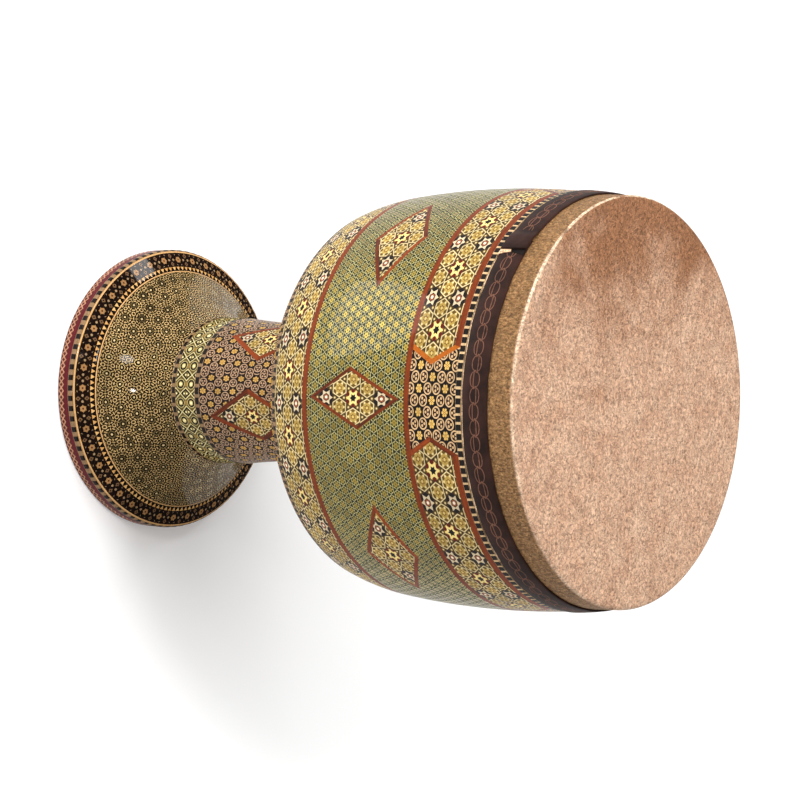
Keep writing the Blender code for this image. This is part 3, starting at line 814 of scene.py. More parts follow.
SMALL_ROSETTE = Cell((
    Layer(HEXAGON, 0.50, "#D2BC88"),
    Layer(HEXAGON, 0.435, "#5C4418"),
    Layer(STAR_BETWEEN, 0.42, "#B0944E"),
    Layer(DISC, 0.24, "#A88A44"),
    Layer(DOTS, 0.055, "#D6C088", ring=0.30, turn=30.0),
    Layer(STAR, 0.18, "#6E4E1C"),
    Layer(DISC, 0.075, "#CCAE64"),
))
BIG_STAR = (
    Layer(HEXAGON, 0.50, "#A87C34"),
    Layer(STAR_BETWEEN, 0.46, "#E2C87C"),
    Layer(DISC, 0.28, "#E2C87C"),
    Layer(DOTS, 0.120, "#54160A", ring=0.395, turn=0.0),
    Layer(STAR_BETWEEN, 0.23, "#0A0706"),
    Layer(DISC, 0.145, "#0A0706"),
)
JUNCTION = (
    Layer(HEXAGON, 0.50, "#120D0A"),
    Layer(STAR_BETWEEN, 0.44, "#C9B592"),
    Layer(HEXAGON, 0.28, "#C9B592"),
    Layer(HEXAGON, 0.225, "#20100A"),
    Layer(DISC, 0.165, "#864A30"),
    Layer(DISC, 0.080, "#EADBBE"),
)
ROSETTE_DOTS = (
    Layer(DOTS, 0.100, "#665024", ring=MEETING, turn=30.0),
    Layer(DOTS, 0.050, "#D8BE84", ring=MEETING, turn=30.0),
)


def rosettes(name: str, lattice: Lattice, flower_column: float, flower_row: float) -> Khatam:
    """Rosette marquetry: large stars ringed by small rosettes, with dark flowers at the junctions.

    Args:
        name: Name of the material.
        lattice: Spacing of its cells.
        flower_column: Column of the junction flowers.
        flower_row: Row of the junction flowers.

    Returns:
        The finish.
    """
    cells = (SMALL_ROSETTE, Cell(BIG_STAR), Cell(JUNCTION, flower_column, flower_row))
    return Khatam(name, "rosette_marquetry", lattice, "#3A2A14", ROSETTE_DOTS, cells)


def pitch_round(node: str, count: int) -> float:
    """Pitch of a pattern that has a whole number of cells round the middle of a sheet."""
    return OUTLINE.girth(node) * FULL_TURN / count


FRONT_PITCH = pitch_round("front_band", 60)
SHOULDER_PITCH = pitch_round("shoulder_band", 60)
GREEN_PITCH = pitch_round("green_field", 122)
RIM_PITCH = pitch_round("foot_rim_band", 41)
COLLAR_PITCH = 0.0572 * FULL_TURN / 25  # Radius half way up the collar
CROSS_PITCH = OUTLINE.foot_radius * FULL_TURN / 146

FRONT_ROSETTES = rosettes("khatam_front_rosettes", Lattice(FRONT_PITCH, 10.3 * MM, repeat=3.0), 1.5, 1.0)
SHOULDER_ROSETTES = rosettes("khatam_shoulder_rosettes", Lattice(SHOULDER_PITCH, 9.8 * MM, repeat=3.0), 1.5, 1.0)
TALL_ROSETTES = rosettes("khatam_tall_lozenge", Lattice(12.4 * MM, 12.25 * MM), 0.0, 2.0)
WIDE_ROSETTES = rosettes("khatam_wide_lozenge", Lattice(12.4 * MM, 12.25 * MM, turned=True), 0.0, 2.0)
NECK_ROSETTES = rosettes("khatam_neck_lozenge", Lattice(11.6 * MM, 11.5 * MM), 0.0, 2.0)


def flowers(name: str, lattice: Lattice, petal: str, ring: str, ground: str) -> Khatam:
    """Flower marquetry: six-petalled flowers on a dark ground, with three-spoked rings between them.

    Args:
        name: Name of the material.
        lattice: Spacing of its cells.
        petal: Colour of the petals.
        ring: Colour of the rings.
        ground: Colour of the ground.

    Returns:
        The finish.
    """
    rings = (
        Layer(DOTS, 0.265, ring, ring=MEETING, turn=30.0),
        Layer(DOTS, 0.200, "#26100A", ring=MEETING, turn=30.0),
        Layer(DOTS, 0.062, ring, ring=0.476, turn=30.0),
        Layer(DOTS, 0.052, ground, ring=0.840, turn=30.0),
    )
    flower = Cell((
        Layer(DOTS, 0.064, petal, ring=0.140, turn=30.0),
        Layer(DISC, 0.070, petal),
        Layer(DISC, 0.030, "#7A4A1E"),
    ))
    return Khatam(name, "flower_marquetry", lattice, ground, rings, (flower,))


FRONT_FLOWERS = flowers("khatam_front_flowers", Lattice(15.1 * MM, 10.1 * MM), "#D0A658", "#C6A276", "#0E0704")
NECK_LATTICE = Lattice(14.5 * MM, 9.7 * MM, turned=True)
NECK_FLOWERS = flowers("khatam_neck_flowers", NECK_LATTICE, "#C4984E", "#B08E6E", "#180A06")
UNDERSIDE_FLOWERS = flowers("khatam_underside_flowers", NECK_LATTICE, "#C4984E", "#B08E6E", "#180A06")

GREEN_STARS = Khatam(
    "khatam_green_stars", "green_star_marquetry", Lattice(GREEN_PITCH, 5.85 * MM), "#1E2412", (),
    (Cell((
        Layer(HEXAGON, 0.50, "#AEA472"),
        Layer(HEXAGON, 0.43, "#28300F"),
        Layer(STAR_BETWEEN, 0.36, "#887430", brass=True),
        Layer(DISC, 0.23, "#887430", brass=True),
        Layer(DOTS, 0.050, "#BDAE6C", ring=0.37, turn=30.0),
        Layer(DISC, 0.08, "#5E4818"),
    )),),
    wander=0.0002, tone=(0.80, 1.18),
)

# Where the corners of four of the collar's cells meet, as a distance in pitches and a turn
CORNER_RING = 0.6268
CORNER_TURN = 37.09
COLLAR_CHAIN = Khatam(
    "khatam_collar_chain", "collar_marquetry", Lattice(COLLAR_PITCH, 10.8 * MM, square=True), "#5A4A20",
    (
        Layer(DOTS, 0.13, "#8E7034", ring=0.378, turn=90.0),
        Layer(DIAMONDS, 0.35, "#D6C68C", ring=CORNER_RING, turn=CORNER_TURN, stretch=1.2),
        Layer(DIAMONDS, 0.285, "#1A1608", ring=CORNER_RING, turn=CORNER_TURN, stretch=1.2),
        Layer(DIAMONDS, 0.165, "#6A5A2A", ring=CORNER_RING, turn=CORNER_TURN, stretch=1.2),
        Layer(DOTS, 0.055, "#EADAA0", ring=0.575, turn=29.5),
    ),
    (Cell((
        Layer(DISC, 0.275, "#BFAE74"),
        Layer(DISC, 0.240, "#161206"),
        Layer(DISC, 0.135, "#BCA868"),
        Layer(DISC, 0.085, "#F0E0A4"),
    )),),
)

DISH_NET = Khatam(
    "khatam_dish_net", "net_marquetry", Lattice(12.9 * MM, 11.2 * MM), "#24190D",
    (
        Layer(DOTS, 0.130, "#B89A68", ring=MEETING, turn=30.0),
        Layer(DOTS, 0.078, "#2E200F", ring=MEETING, turn=30.0),
    ),
    (Cell((
        Layer(DOTS, 0.036, "#A68A58", ring=0.335, turn=0.0, stretch=2.6),
        Layer(DOTS, 0.115, "#B09462", ring=0.500, turn=0.0, stretch=0.3),
        Layer(DOTS, 0.095, "#BC9E6C", ring=0.350, turn=30.0, stretch=0.36),
        Layer(DISC, 0.225, "#B89E68", brass=True),
        Layer(DISC, 0.160, "#22180A"),
        Layer(DISC, 0.065, "#C8B080"),
    )),),
    wander=0.0014, tone=(0.80, 1.18),
)

RIM_FLOWERS = Khatam(
    "khatam_rim_flowers", "flower_marquetry", Lattice(RIM_PITCH, 12.4 * MM, square=True), "#1A0F0B",
    (
        Layer(DOTS, 0.062, "#947A5A", ring=0.350, turn=0.0),
        Layer(DOTS, 0.055, "#8A7254", ring=0.350, turn=60.0),
        Layer(DIAMONDS, 0.115, "#6E5238", ring=0.550, turn=24.0, stretch=1.2),
        Layer(DIAMONDS, 0.050, "#1A0F0B", ring=0.550, turn=24.0),
        Layer(DIAMONDS, 0.060, "#8E7456", ring=0.500, stretch=0.8),
        Layer(CROSS, 0.032, "#120A07", ring=0.5),
    ),
    (Cell((
        Layer(DISC, 0.262, "#120A07"),
        Layer(STAR, 0.205, "#8E683E"),
        Layer(DISC, 0.150, "#9A7248"),
        Layer(DISC, 0.050, "#4A2A1A"),
    )),),
)

FOOT_CROSSES = Khatam(
    "khatam_foot_crosses", "foot_edge_marquetry", Lattice(CROSS_PITCH, 6.07 * MM, square=True), "#4E2014",
    (Layer(CROSS, 0.115, "#B07C62"),), (Cell((Layer(DISC, 0.14, "#BC8A6A"),)),),
)

ORANGE_WOOD = LacqueredWood("orange_dyed_wood", "orange_wood")
CHECK_BASE = LacqueredWood("bone_strip", "check_marquetry", "#DDBE90", "#B08C60", "#4A3420", 0.6)
CHECK_DULL = LacqueredWood("stained_bone_strip", "check_marquetry", "#9A7C5A", "#6E543A", "#2E2014", 0.7)
CHECK_BLACK = LacqueredWood("ebony_block", "check_marquetry", "#17100C", "#0C0806", "#040302", 0.3)
CHECK_CREAM = LacqueredWood("bone_tooth", "check_marquetry", "#DDB070", "#C08A4C", "#7A5430", 0.3)
PALE_LINE = LacqueredWood("pale_wood_line", "pale_line_wood", "#DDB078", "#B98850", "#6A4222", 0.4)
BURGUNDY = LacqueredWood("burgundy_dyed_wood", "burgundy_wood", "#66161E", "#420B12", "#1C0508", 0.5)
WALNUT = Walnut("turned_walnut", "walnut_body")
GOATSKIN = Goatskin("dried_goatskin", "goatskin_head")
SKIN_FLAP = Goatskin("torn_goatskin", "goatskin_head", side="#B88A66", side_fair="#EFC8A0")
# A near-black sheet that is painted shadow in the leather's joint
PAINTED_JOINT_SHADOW = Leather("painted_joint_shadow", "embossed_leather", "#1C120E", "#0A0605")
LEATHER = Leather("dyed_and_embossed_leather", "embossed_leather")
LEATHER_RAISED = Leather("rubbed_leather_relief", "embossed_leather", "#7C5442", "#54362A", 0.2)


def put(name: str, data: bpy.types.ID) -> bpy.types.Object:
    """Put an object in the scene.

    Args:
        name: Its name.
        data: Its mesh, light or camera.

    Returns:
        The object.
    """
    made = bpy.data.objects.new(name, data)
    bpy.context.scene.collection.objects.link(made)
    return made


def show(name: str, mesh: Mesh, finish: Finish, *nodes: str) -> None:
    """Put a finished mesh on the drum in place of its CAD nodes.

    Args:
        name: Name of the piece.
        mesh: The mesh, already in place.
        finish: The finish that it gets.
        *nodes: CAD nodes that it stands for.
    """
    piece = put(name, mesh)
    mesh.materials.clear()
    mesh.materials.append(finish.material())
    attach(piece, BODY)
    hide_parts(*nodes)
    LOG.info("%s: %d faces", name, len(mesh.polygons))


@dataclass(frozen=True)
class Part:
    """One convex part of a flat sheet, with its tone and the line that its grain follows."""

    corners: tuple[Point, ...]
    tone: float = 0.5
    grain: tuple[Point, Point] | None = None


def shrink(corners: Sequence[Point], insets: Sequence[float]) -> list[Point]:
    """Draw in the edges of a convex outline.

    Args:
        corners: Corners against the clock.
        insets: Distance for the edge that begins at each corner.

    Returns:
        The new corners.
    """
    walls = []
    for start, end, inset in zip(corners, [*corners[1:], corners[0]], insets):
        run = math.dist(start, end)
        inward = (-(end[1] - start[1]) / run, (end[0] - start[0]) / run)
        walls.append((inward, inward[0] * start[0] + inward[1] * start[1] + inset))
    made = []
    for (a, first), (b, second) in zip([walls[-1], *walls[:-1]], walls):
        cross = a[0] * b[1] - a[1] * b[0]
        made.append(((first * b[1] - a[1] * second) / cross, (a[0] * second - first * b[0]) / cross))
    return made


# Height of a sheet's face over the outline: let into the wood, and laid on another sheet
FLUSH = -0.00004
OVERLAID = 0.00002
# Spacing of the rows of a sheet's mesh
SHEET_ROWS = 0.0040


@dataclass
class Sheet:
    """A thin sheet laid on the drum. It is drawn flat, and then bent round the outline.

    Flat, x runs round the drum from the sheet's middle and y up it from the middle run, in metres.
    Proud is the height of its face over the outline, and thickness the depth of its back under it.
    """

    angle: float
    run: float
    thickness: float = OUTLINE.sheet_thickness
    step_round: float = math.radians(2.5)
    step_along: float = SHEET_ROWS
    proud: float = FLUSH
    shift: Point = (0.0, 0.0)

    def __post_init__(self) -> None:
        """Take the radius that turns a flat length into an angle."""
        self.radius = OUTLINE.at(self.run)[0]

    def x_at(self, angle: float) -> float:
        """Flat x of an angle round the drum."""
        return (angle - self.angle) * self.radius

    def y_at(self, run: float) -> float:
        """Flat y of a run."""
        return self.run - run

    def clipped(self, part: Part) -> bmesh.types.BMesh:
        """Grid of one part, cut to its corners.

        Args:
            part: The part.

        Returns:
            The cut grid.
        """
        work = bmesh.new()
        spans = []
        for axis, step in ((0, self.step_round * self.radius), (1, self.step_along)):
            low = math.floor(min(c[axis] for c in part.corners) / step - 1e-6)
            high = math.ceil(max(c[axis] for c in part.corners) / step + 1e-6)
            spans.append([step * count for count in range(low, high + 1)])
        grid = [[work.verts.new((x, y, 0.0)) for x in spans[0]] for y in spans[1]]
        for lower, upper in zip(grid, grid[1:]):
            for place in range(len(lower) - 1):
                work.faces.new((lower[place], lower[place + 1], upper[place + 1], upper[place]))
        for start, end in zip(part.corners, [*part.corners[1:], part.corners[0]]):
            outward = Vector((end[1] - start[1], start[0] - end[0], 0.0)).normalized()
            everything = work.verts[:] + work.edges[:] + work.faces[:]
            bmesh.ops.bisect_plane(work, geom=everything, dist=1e-7, plane_co=(*start, 0.0),
                                   plane_no=outward, clear_outer=True)
        return work

    def mesh(self, name: str, parts: Sequence[Part], whole: bool = True) -> Mesh:
        """Bend the parts round the drum as closed sheets.

        Args:
            name: Name of the mesh.
            parts: Convex parts of the sheet.
            whole: True where the parts join in one sheet, false where each is a strip of its own.

        Returns:
            The mesh, with its flat coordinates in metres as the UV map "sheet".
        """
        spots: list[Triple] = []
        faces: list[list[int]] = []
        tops: list[tuple[int, Part]] = []
        groups = [list(parts)] if whole else [[part] for part in parts]
        for group in groups:
            joined = bmesh.new()
            for part in group:
                piece = self.clipped(part)
                held = {v: joined.verts.new(v.co) for v in piece.verts}
                for face in piece.faces:
                    joined.faces.new([held[v] for v in face.verts])
                piece.free()
            bmesh.ops.remove_doubles(joined, verts=joined.verts, dist=2e-6)
            joined.verts.index_update()
            first = len(spots)
            count = len(joined.verts)
            flat = [(v.co.x, v.co.y) for v in joined.verts]
            spots += [(x, y, -self.proud) for x, y in flat]
            spots += [(x, y, self.thickness) for x, y in flat]
            for face in joined.faces:
                ring = [first + v.index for v in face.verts]
                tops.append((len(faces), group[0]))
                faces.append(ring)
                faces.append([place + count for place in reversed(ring)])
            for edge in joined.edges:
                if len(edge.link_faces) == 1:
                    loop = edge.link_loops[0]
                    a, b = first + loop.vert.index, first + loop.link_loop_next.vert.index
                    faces.append([b, a, a + count, b + count])
            joined.free()
        return self.bent(name, spots, faces, tops, whole)

    def bent(self, name: str, spots: list[Triple], faces: list[list[int]],
             tops: list[tuple[int, Part]], whole: bool) -> Mesh:
        """Turn flat points into the mesh on the drum.

        Args:
            name: Name of the mesh.
            spots: Flat x, flat y and depth of each point.
            faces: Corners of each face.
            tops: Place of each top face, and its part.
            whole: False where each part has its own tone and grain.

        Returns:
            The mesh.
        """
        points = []
        normals = []
        for x, y, depth in spots:
            angle, run = self.angle + x / self.radius, self.run - y
            points.append(OUTLINE.place(angle, run, depth))
            normals.append(OUTLINE.normal(angle, run))
        mesh = bpy.data.meshes.new(name)
        mesh.from_pydata(points, [], faces)
        owner = {place: part for place, part in tops}
        layer = mesh.uv_layers.new(name="sheet")
        tones = mesh.attributes.new("tone", "FLOAT", "POINT")
        split = []
        part = tops[0][1]
        for poly in mesh.polygons:
            part = owner.get(poly.index, part)
            top = poly.index in owner
            smooth = top or poly.index - 1 in owner
            poly.use_smooth = smooth
            for loop in poly.loop_indices:
                vertex = mesh.loops[loop].vertex_index
                x, y, _ = spots[vertex]
                if part.grain and not whole:
                    along = (Vector(part.grain[1]) - Vector(part.grain[0])).normalized()
                    spot = Vector((x, y)) - Vector(part.grain[0])
                    layer.data[loop].uv = (spot.dot(along) + part.tone, along.x * spot.y - along.y * spot.x)
                else:
                    layer.data[loop].uv = (x + self.shift[0], y + self.shift[1])
                tones.data[vertex].value = part.tone
                split.append(normals[vertex] * (1.0 if top else -1.0) if smooth else Vector((0.0, 0.0, 0.0)))
        mesh.normals_split_custom_set(split)
        return mesh


def ribbon(name: str, node: str, finish: Finish, turns: int = 1, shift: Point = (0.0, 0.0),
           step_along: float = SHEET_ROWS, gores: int = 0, share: float = 1.0) -> None:
    """Lay a sheet right round the drum, in one or more lengths with butt joints.

    Args:
        name: Name of the pieces.
        node: CAD node that they stand for, and the station that they lie on.
        finish: Their finish.
        turns: Number of lengths.
        shift: How far the pattern is moved round the drum and up it, in metres.
        step_along: Spacing of the mesh's rows.
        gores: Number of gores in which the pattern keeps its true size, or 0 for none.
        share: Share of the station's width that the sheet takes; a narrow one lies on another sheet.
    """
    low, high = OUTLINE.stations[node]
    middle = (low + high) / 2.0
    width = FULL_TURN / turns
    for place in range(turns):
        angle = width * place if turns > 1 else 0.0
        sheet = Sheet(angle, middle, step_along=step_along, proud=FLUSH if share == 1.0 else OVERLAID)
        sheet.shift = (angle * sheet.radius + shift[0], shift[1])
        reach = width / 2.0 * sheet.radius
        half = (high - low) / 2.0 * share
        part = Part(((-reach, -half), (reach, -half), (reach, half), (-reach, half)))
        label = name if turns == 1 else f"{name}_{place + 1}"
        mesh = sheet.mesh(label, [part])
        if gores:
            lay_true(mesh, gores)
        show(label, mesh, finish, node)


# Length by which the pattern is shifted from one gore to the next
GORE_SHIFT = 0.0371


def lay_true(mesh: Mesh, gores: int) -> None:
    """Lay the pattern of a flared sheet true to size, in gores, as flat slices are laid on a flare.

    Args:
        mesh: The sheet, in place on the drum.
        gores: Number of gores in the whole turn.
    """
    layer = mesh.uv_layers["sheet"]
    width = FULL_TURN / gores
    for face in mesh.polygons:
        gore = math.floor(math.atan2(face.center.x, -face.center.y) / width)
        heart = (gore + 0.5) * width
        for loop in face.loop_indices:
            point = mesh.vertices[mesh.loops[loop].vertex_index].co
            turn = math.remainder(math.atan2(point.x, -point.y) - heart, FULL_TURN)
            along = turn * math.hypot(point.x, point.y) + gore * GORE_SHIFT
            layer.data[loop].uv = (along, layer.data[loop].uv[1])


def array_tree(material: bpy.types.Material) -> Tree:
    """Geometry Nodes tree that sets one tile again and again round the drum's axis.

    Args:
        material: Material of the tiles.

    Returns:
        The tree, with inputs for the count, the first angle, the step and the unevenness.
    """
    tree = bpy.data.node_groups.new("tiles_round_the_drum", "GeometryNodeTree")
    tree.interface.new_socket("Tile", in_out="INPUT", socket_type="NodeSocketGeometry")
    tree.interface.new_socket("Count", in_out="INPUT", socket_type="NodeSocketInt")
    for name in ("First", "Step", "Unevenness"):
        tree.interface.new_socket(name, in_out="INPUT", socket_type="NodeSocketFloat")
    tree.interface.new_socket("Tiles", in_out="OUTPUT", socket_type="NodeSocketGeometry")
    given = add(tree, "NodeGroupInput")
    spots = add(tree, "GeometryNodeMeshLine", {"Count": given.outputs["Count"], "Offset": (0.0, 0.0, 0.0)})
    index = add(tree, "GeometryNodeInputIndex")
    even = {0: index, 1: given.outputs["Step"], 2: given.outputs["First"]}
    angle = add(tree, MATH, even, operation="MULTIPLY_ADD")
    low = add(tree, MATH, {0: given.outputs["Unevenness"], 1: -1.0}, operation="MULTIPLY")
    chance = add(tree, "FunctionNodeRandomValue", {2: low, 3: given.outputs["Unevenness"], "Seed": 7},
                 data_type="FLOAT").outputs[1]
    turned = add(tree, MATH, {0: angle, 1: chance}, operation="ADD")
    rotation = add(tree, "ShaderNodeCombineXYZ", {"Z": turned})
    placed = add(tree, "GeometryNodeInstanceOnPoints",
                 {"Points": spots, "Instance": given.outputs["Tile"], "Rotation": rotation})
    tone = add(tree, "FunctionNodeRandomValue", {2: 0.0, 3: 1.0, "Seed": 3}, data_type="FLOAT").outputs[1]
    kept = add(tree, "GeometryNodeStoreNamedAttribute", {"Geometry": placed, "Name": "tone", "Value": tone},
               data_type="FLOAT", domain="INSTANCE")
    real = add(tree, "GeometryNodeRealizeInstances", {"Geometry": kept})
    done = add(tree, "GeometryNodeSetMaterial", {"Geometry": real, "Material": material})
    add(tree, "NodeGroupOutput", {0: done})
    return tree


def ring_of_tiles(name: str, tile: Mesh, finish: Finish, node: str, count: int,
                  first: float = 0.0, step: float | None = None, unevenness: float = 0.0) -> None:
    """Repeat a tile round the drum.

    Args:
        name: Name of the piece.
        tile: Mesh of one tile, in place at the front.
        finish: Its finish.
        node: CAD node that the piece stands for.
        count: Number of tiles.
        first: Angle of the first one.
        step: Angle between two, or None where they fill the turn.
        unevenness: Most that a tile strays from its place, in radians.
    """
    holder = put(name + "_tile", tile)
    tree = array_tree(finish.material())
    modifier = holder.modifiers.new("tiles", "NODES")
    modifier.node_group = tree
    values = {"Count": count, "First": first, "Step": step or FULL_TURN / count, "Unevenness": unevenness}
    for item in tree.interface.items_tree:
        if item.in_out == "INPUT" and item.name in values:
            modifier[item.identifier] = values[item.name]
    graph = bpy.context.evaluated_depsgraph_get()
    mesh = bpy.data.meshes.new_from_object(holder.evaluated_get(graph), preserve_all_data_layers=True,
                                           depsgraph=graph)
    mesh.name = name
    bpy.data.objects.remove(holder, do_unlink=True)
    show(name, mesh, finish, node)


def slab(name: str, points: Sequence[Vector]) -> Mesh:
    """Join a face and a back of as many corners.

    Args:
        name: Name of the mesh.
        points: Corners of the face against the clock, and then those of the back.

    Returns:
        The mesh.
    """
    count = len(points) // 2
    faces = [list(range(count)), list(range(2 * count - 1, count - 1, -1))]
    faces += [[(place + 1) % count, place, place + count, (place + 1) % count + count] for place in range(count)]
    mesh = bpy.data.meshes.new(name)
    mesh.from_pydata(points, [], faces)
    return mesh


def tube(work: bmesh.types.BMesh, rings: Sequence[Sequence[bmesh.types.BMVert]]) -> None:
    """Join rings of as many points in a closed tube.

    Args:
        work: Mesh that gets the faces.
        rings: The rings.
    """
    size = len(rings[0])
    for a, b in zip(rings, rings[1:]):
        for place in range(size):
            after = (place + 1) % size
            work.faces.new((a[place], b[place], b[after], a[after]))
    work.faces.new(rings[0])
    work.faces.new(rings[-1][::-1])


def turned_mesh(name: str, profile: Sequence[Point], steps: int, poles: bool = False) -> Mesh:
    """Turn a closed profile about the drum's axis.

    Args:
        name: Name of the mesh.
        profile: Radius and height of each point, down the outside and up the inside.
        steps: Number of facets.
        poles: True where the first and last points lie on the axis.

    Returns:
        The mesh, smooth, with sharp edges where the profile turns by more than 40 degrees.
    """
    work = bmesh.new()
    rings = []
    for radius, height in profile:
        if radius < 1e-9:
            rings.append([work.verts.new((0.0, 0.0, height))])
        else:
            rings.append([work.verts.new(around(FULL_TURN * step / steps, radius, height)) for step in range(steps)])
    pairs = list(zip(rings, rings[1:])) if poles else list(zip(rings, [*rings[1:], rings[0]]))
    for upper, lower in pairs:
        for step in range(steps):
            after = (step + 1) % steps
            corners = [upper[step % len(upper)], lower[step % len(lower)],
                       lower[after % len(lower)], upper[after % len(upper)]]
            unique = list(dict.fromkeys(corners))
            if len(unique) > 2:
                work.faces.new(unique)
    bmesh.ops.recalc_face_normals(work, faces=work.faces)
    for edge in work.edges:
        if len(edge.link_faces) == 2:
            edge.smooth = edge.calc_face_angle() < math.radians(40.0)
    for face in work.faces:
        face.smooth = True
    mesh = bpy.data.meshes.new(name)
    work.to_mesh(mesh)
    work.free()
    return mesh


def arc(start: Point, begin: float, end: float, curve: float, steps: int) -> list[Point]:
    """Find points along an arc that runs downwards, as on the outline.

    Args:
        start: Radius and height of its start, which isn't among the points.
        begin: Tilt at its start.
        end: Tilt at its end.
        curve: Its radius.
        steps: Number of points.

    Returns:
        Radius and height of each point.
    """
    stretch = Stretch(*start, begin, end, curve * abs(end - begin))
    return [stretch.at(stretch.length * step / steps)[:2] for step in range(1, steps + 1)]


@dataclass
class WoodenBody:
    """The turned walnut goblet that carries every sheet, bored right through."""

    bore_radius: float = 0.1280
    floor_height: float = 0.3000
    floor_curve: float = 0.0600
    rim_bevel: float = 0.0050
    throat_radius: float = 0.0360
    throat_rounding: float = 0.0120
    mouth_radius: float = 0.0960
    flare_height: float = 0.0950
    flare_steps: int = 16
    row_height: float = 0.0030
    facets: int = 144

    def build(self) -> None:
        """Turn the goblet: its outside under the sheets, then mouth, throat and bowl."""
        gap = OUTLINE.skin_thickness + OUTLINE.clearance
        top = OUTLINE.head_height - gap
        corner = OUTLINE.skin_rounding - gap
        wall = OUTLINE.head_radius - gap
        profile = [(wall - corner, top)]
        profile += arc(profile[0], -math.pi / 2.0, 0.0, corner, steps=4)
        depth = OUTLINE.sheet_thickness + OUTLINE.clearance
        run = OUTLINE.run_at(OUTLINE.skin_edge_height + OUTLINE.skin_glued_height)
        while run < OUTLINE.starts[-1]:
            radius, height, tilt = OUTLINE.at(run)
            profile.append((radius - depth * math.cos(tilt), height + depth * math.sin(tilt)))
            run += self.row_height
        profile.append((OUTLINE.foot_radius - depth, 0.0))
        profile.append((self.mouth_radius, 0.0))
        flare = 2.0 * math.atan((self.mouth_radius - self.throat_radius) / self.flare_height)
        curve = self.flare_height / math.sin(flare)
        for step in range(1, self.flare_steps + 1):
            tilt = flare * (1.0 - step / self.flare_steps)
            profile.append((self.throat_radius + curve * (1.0 - math.cos(tilt)),
                            self.flare_height - curve * math.sin(tilt)))
        slope = OUTLINE.underside_slope
        floor = arc((self.bore_radius, self.floor_height), 0.0, slope, self.floor_curve, steps=12)
        lip_radius = self.throat_radius + self.throat_rounding * (1.0 - math.cos(slope))
        lip = [(lip_radius, floor[-1][1] - (floor[-1][0] - lip_radius) / math.tan(slope))]
        lip += arc(lip[0], slope, 0.0, self.throat_rounding, steps=6)
        profile += lip[::-1] + floor[::-1]
        profile += [(self.bore_radius, self.floor_height), (self.bore_radius, top - self.rim_bevel)]
        profile.append((self.bore_radius + self.rim_bevel, top))
        show("turned_goblet", turned_mesh("turned_goblet", profile, self.facets), WALNUT, "wooden_body")


@dataclass
class SkinHead:
    """The goatskin: flat over the rim, rounded over its edge and glued down the bowl."""

    sink: float = 0.0004
    facets: int = 240
    sag: float = 0.00035
    edge_wave: float = 0.0007
    edge_reach: float = 0.004
    flat_steps: int = 24
    bend_steps: int = 8
    side_steps: int = 4
    glued_steps: int = 8

    def outside(self) -> list[Point]:
        """Profile of the outer face, from the middle out and down.

        Returns:
            Radius and height of each point.
        """
        reach = OUTLINE.head_radius - OUTLINE.skin_rounding
        flat = [(reach * step / self.flat_steps, OUTLINE.head_height) for step in range(self.flat_steps + 1)]
        bend = arc(flat[-1], -math.pi / 2.0, 0.0, OUTLINE.skin_rounding, self.bend_steps)
        side = []
        low = OUTLINE.skin_edge_height
        high = low + OUTLINE.skin_glued_height
        for step in range(1, self.side_steps + 1):
            share = step / self.side_steps
            height = bend[-1][1] + (high - bend[-1][1]) * share
            radius = bend[-1][0] + (OUTLINE.side_radius(high) - self.sink - bend[-1][0]) * share
            side.append((radius, height))
        for step in range(1, self.glued_steps + 1):
            height = high + (low - high) * step / self.glued_steps
            side.append((OUTLINE.side_radius(height) - self.sink, height))
        return flat + bend + side

    def build(self) -> None:
        """Turn the skin, let it sink a little where it is slack, and cut its edge by hand."""
        outside = self.outside()
        inside = []
        for place, (radius, height) in enumerate(outside):
            a = outside[max(place - 1, 0)]
            b = outside[min(place + 1, len(outside) - 1)]
            run = math.dist(a, b)
            inside.append((max(0.0, radius - OUTLINE.skin_thickness * (a[1] - b[1]) / run),
                           height - OUTLINE.skin_thickness * (b[0] - a[0]) / run))
        profile = outside + inside[::-1]
        mesh = turned_mesh("goatskin", profile, self.facets, poles=True)
        flat_reach = OUTLINE.head_radius - OUTLINE.skin_rounding
        edge_top = OUTLINE.skin_edge_height + self.edge_reach
        for vertex in mesh.vertices:
            x, y, z = vertex.co
            angle = math.atan2(x, -y)
            reach = math.hypot(x, y)
            if reach < flat_reach:
                # Slack waves about 15 cm long, which die out towards the bend
                share = 1.0 - (reach / flat_reach) ** 4
                wave = 0.5 + 0.25 * math.sin(41.0 * x + 1.3) + 0.25 * math.sin(37.0 * y + 17.0 * x)
                vertex.co.z -= self.sag * share * wave
            elif z < edge_top:
                cut = 0.5 + 0.3 * math.sin(angle * 23.0) + 0.2 * math.sin(angle * 61.0 + 1.0)
                vertex.co.z += self.edge_wave * cut * (edge_top - z) / self.edge_reach
        show("goatskin", mesh, GOATSKIN, "skin_head")


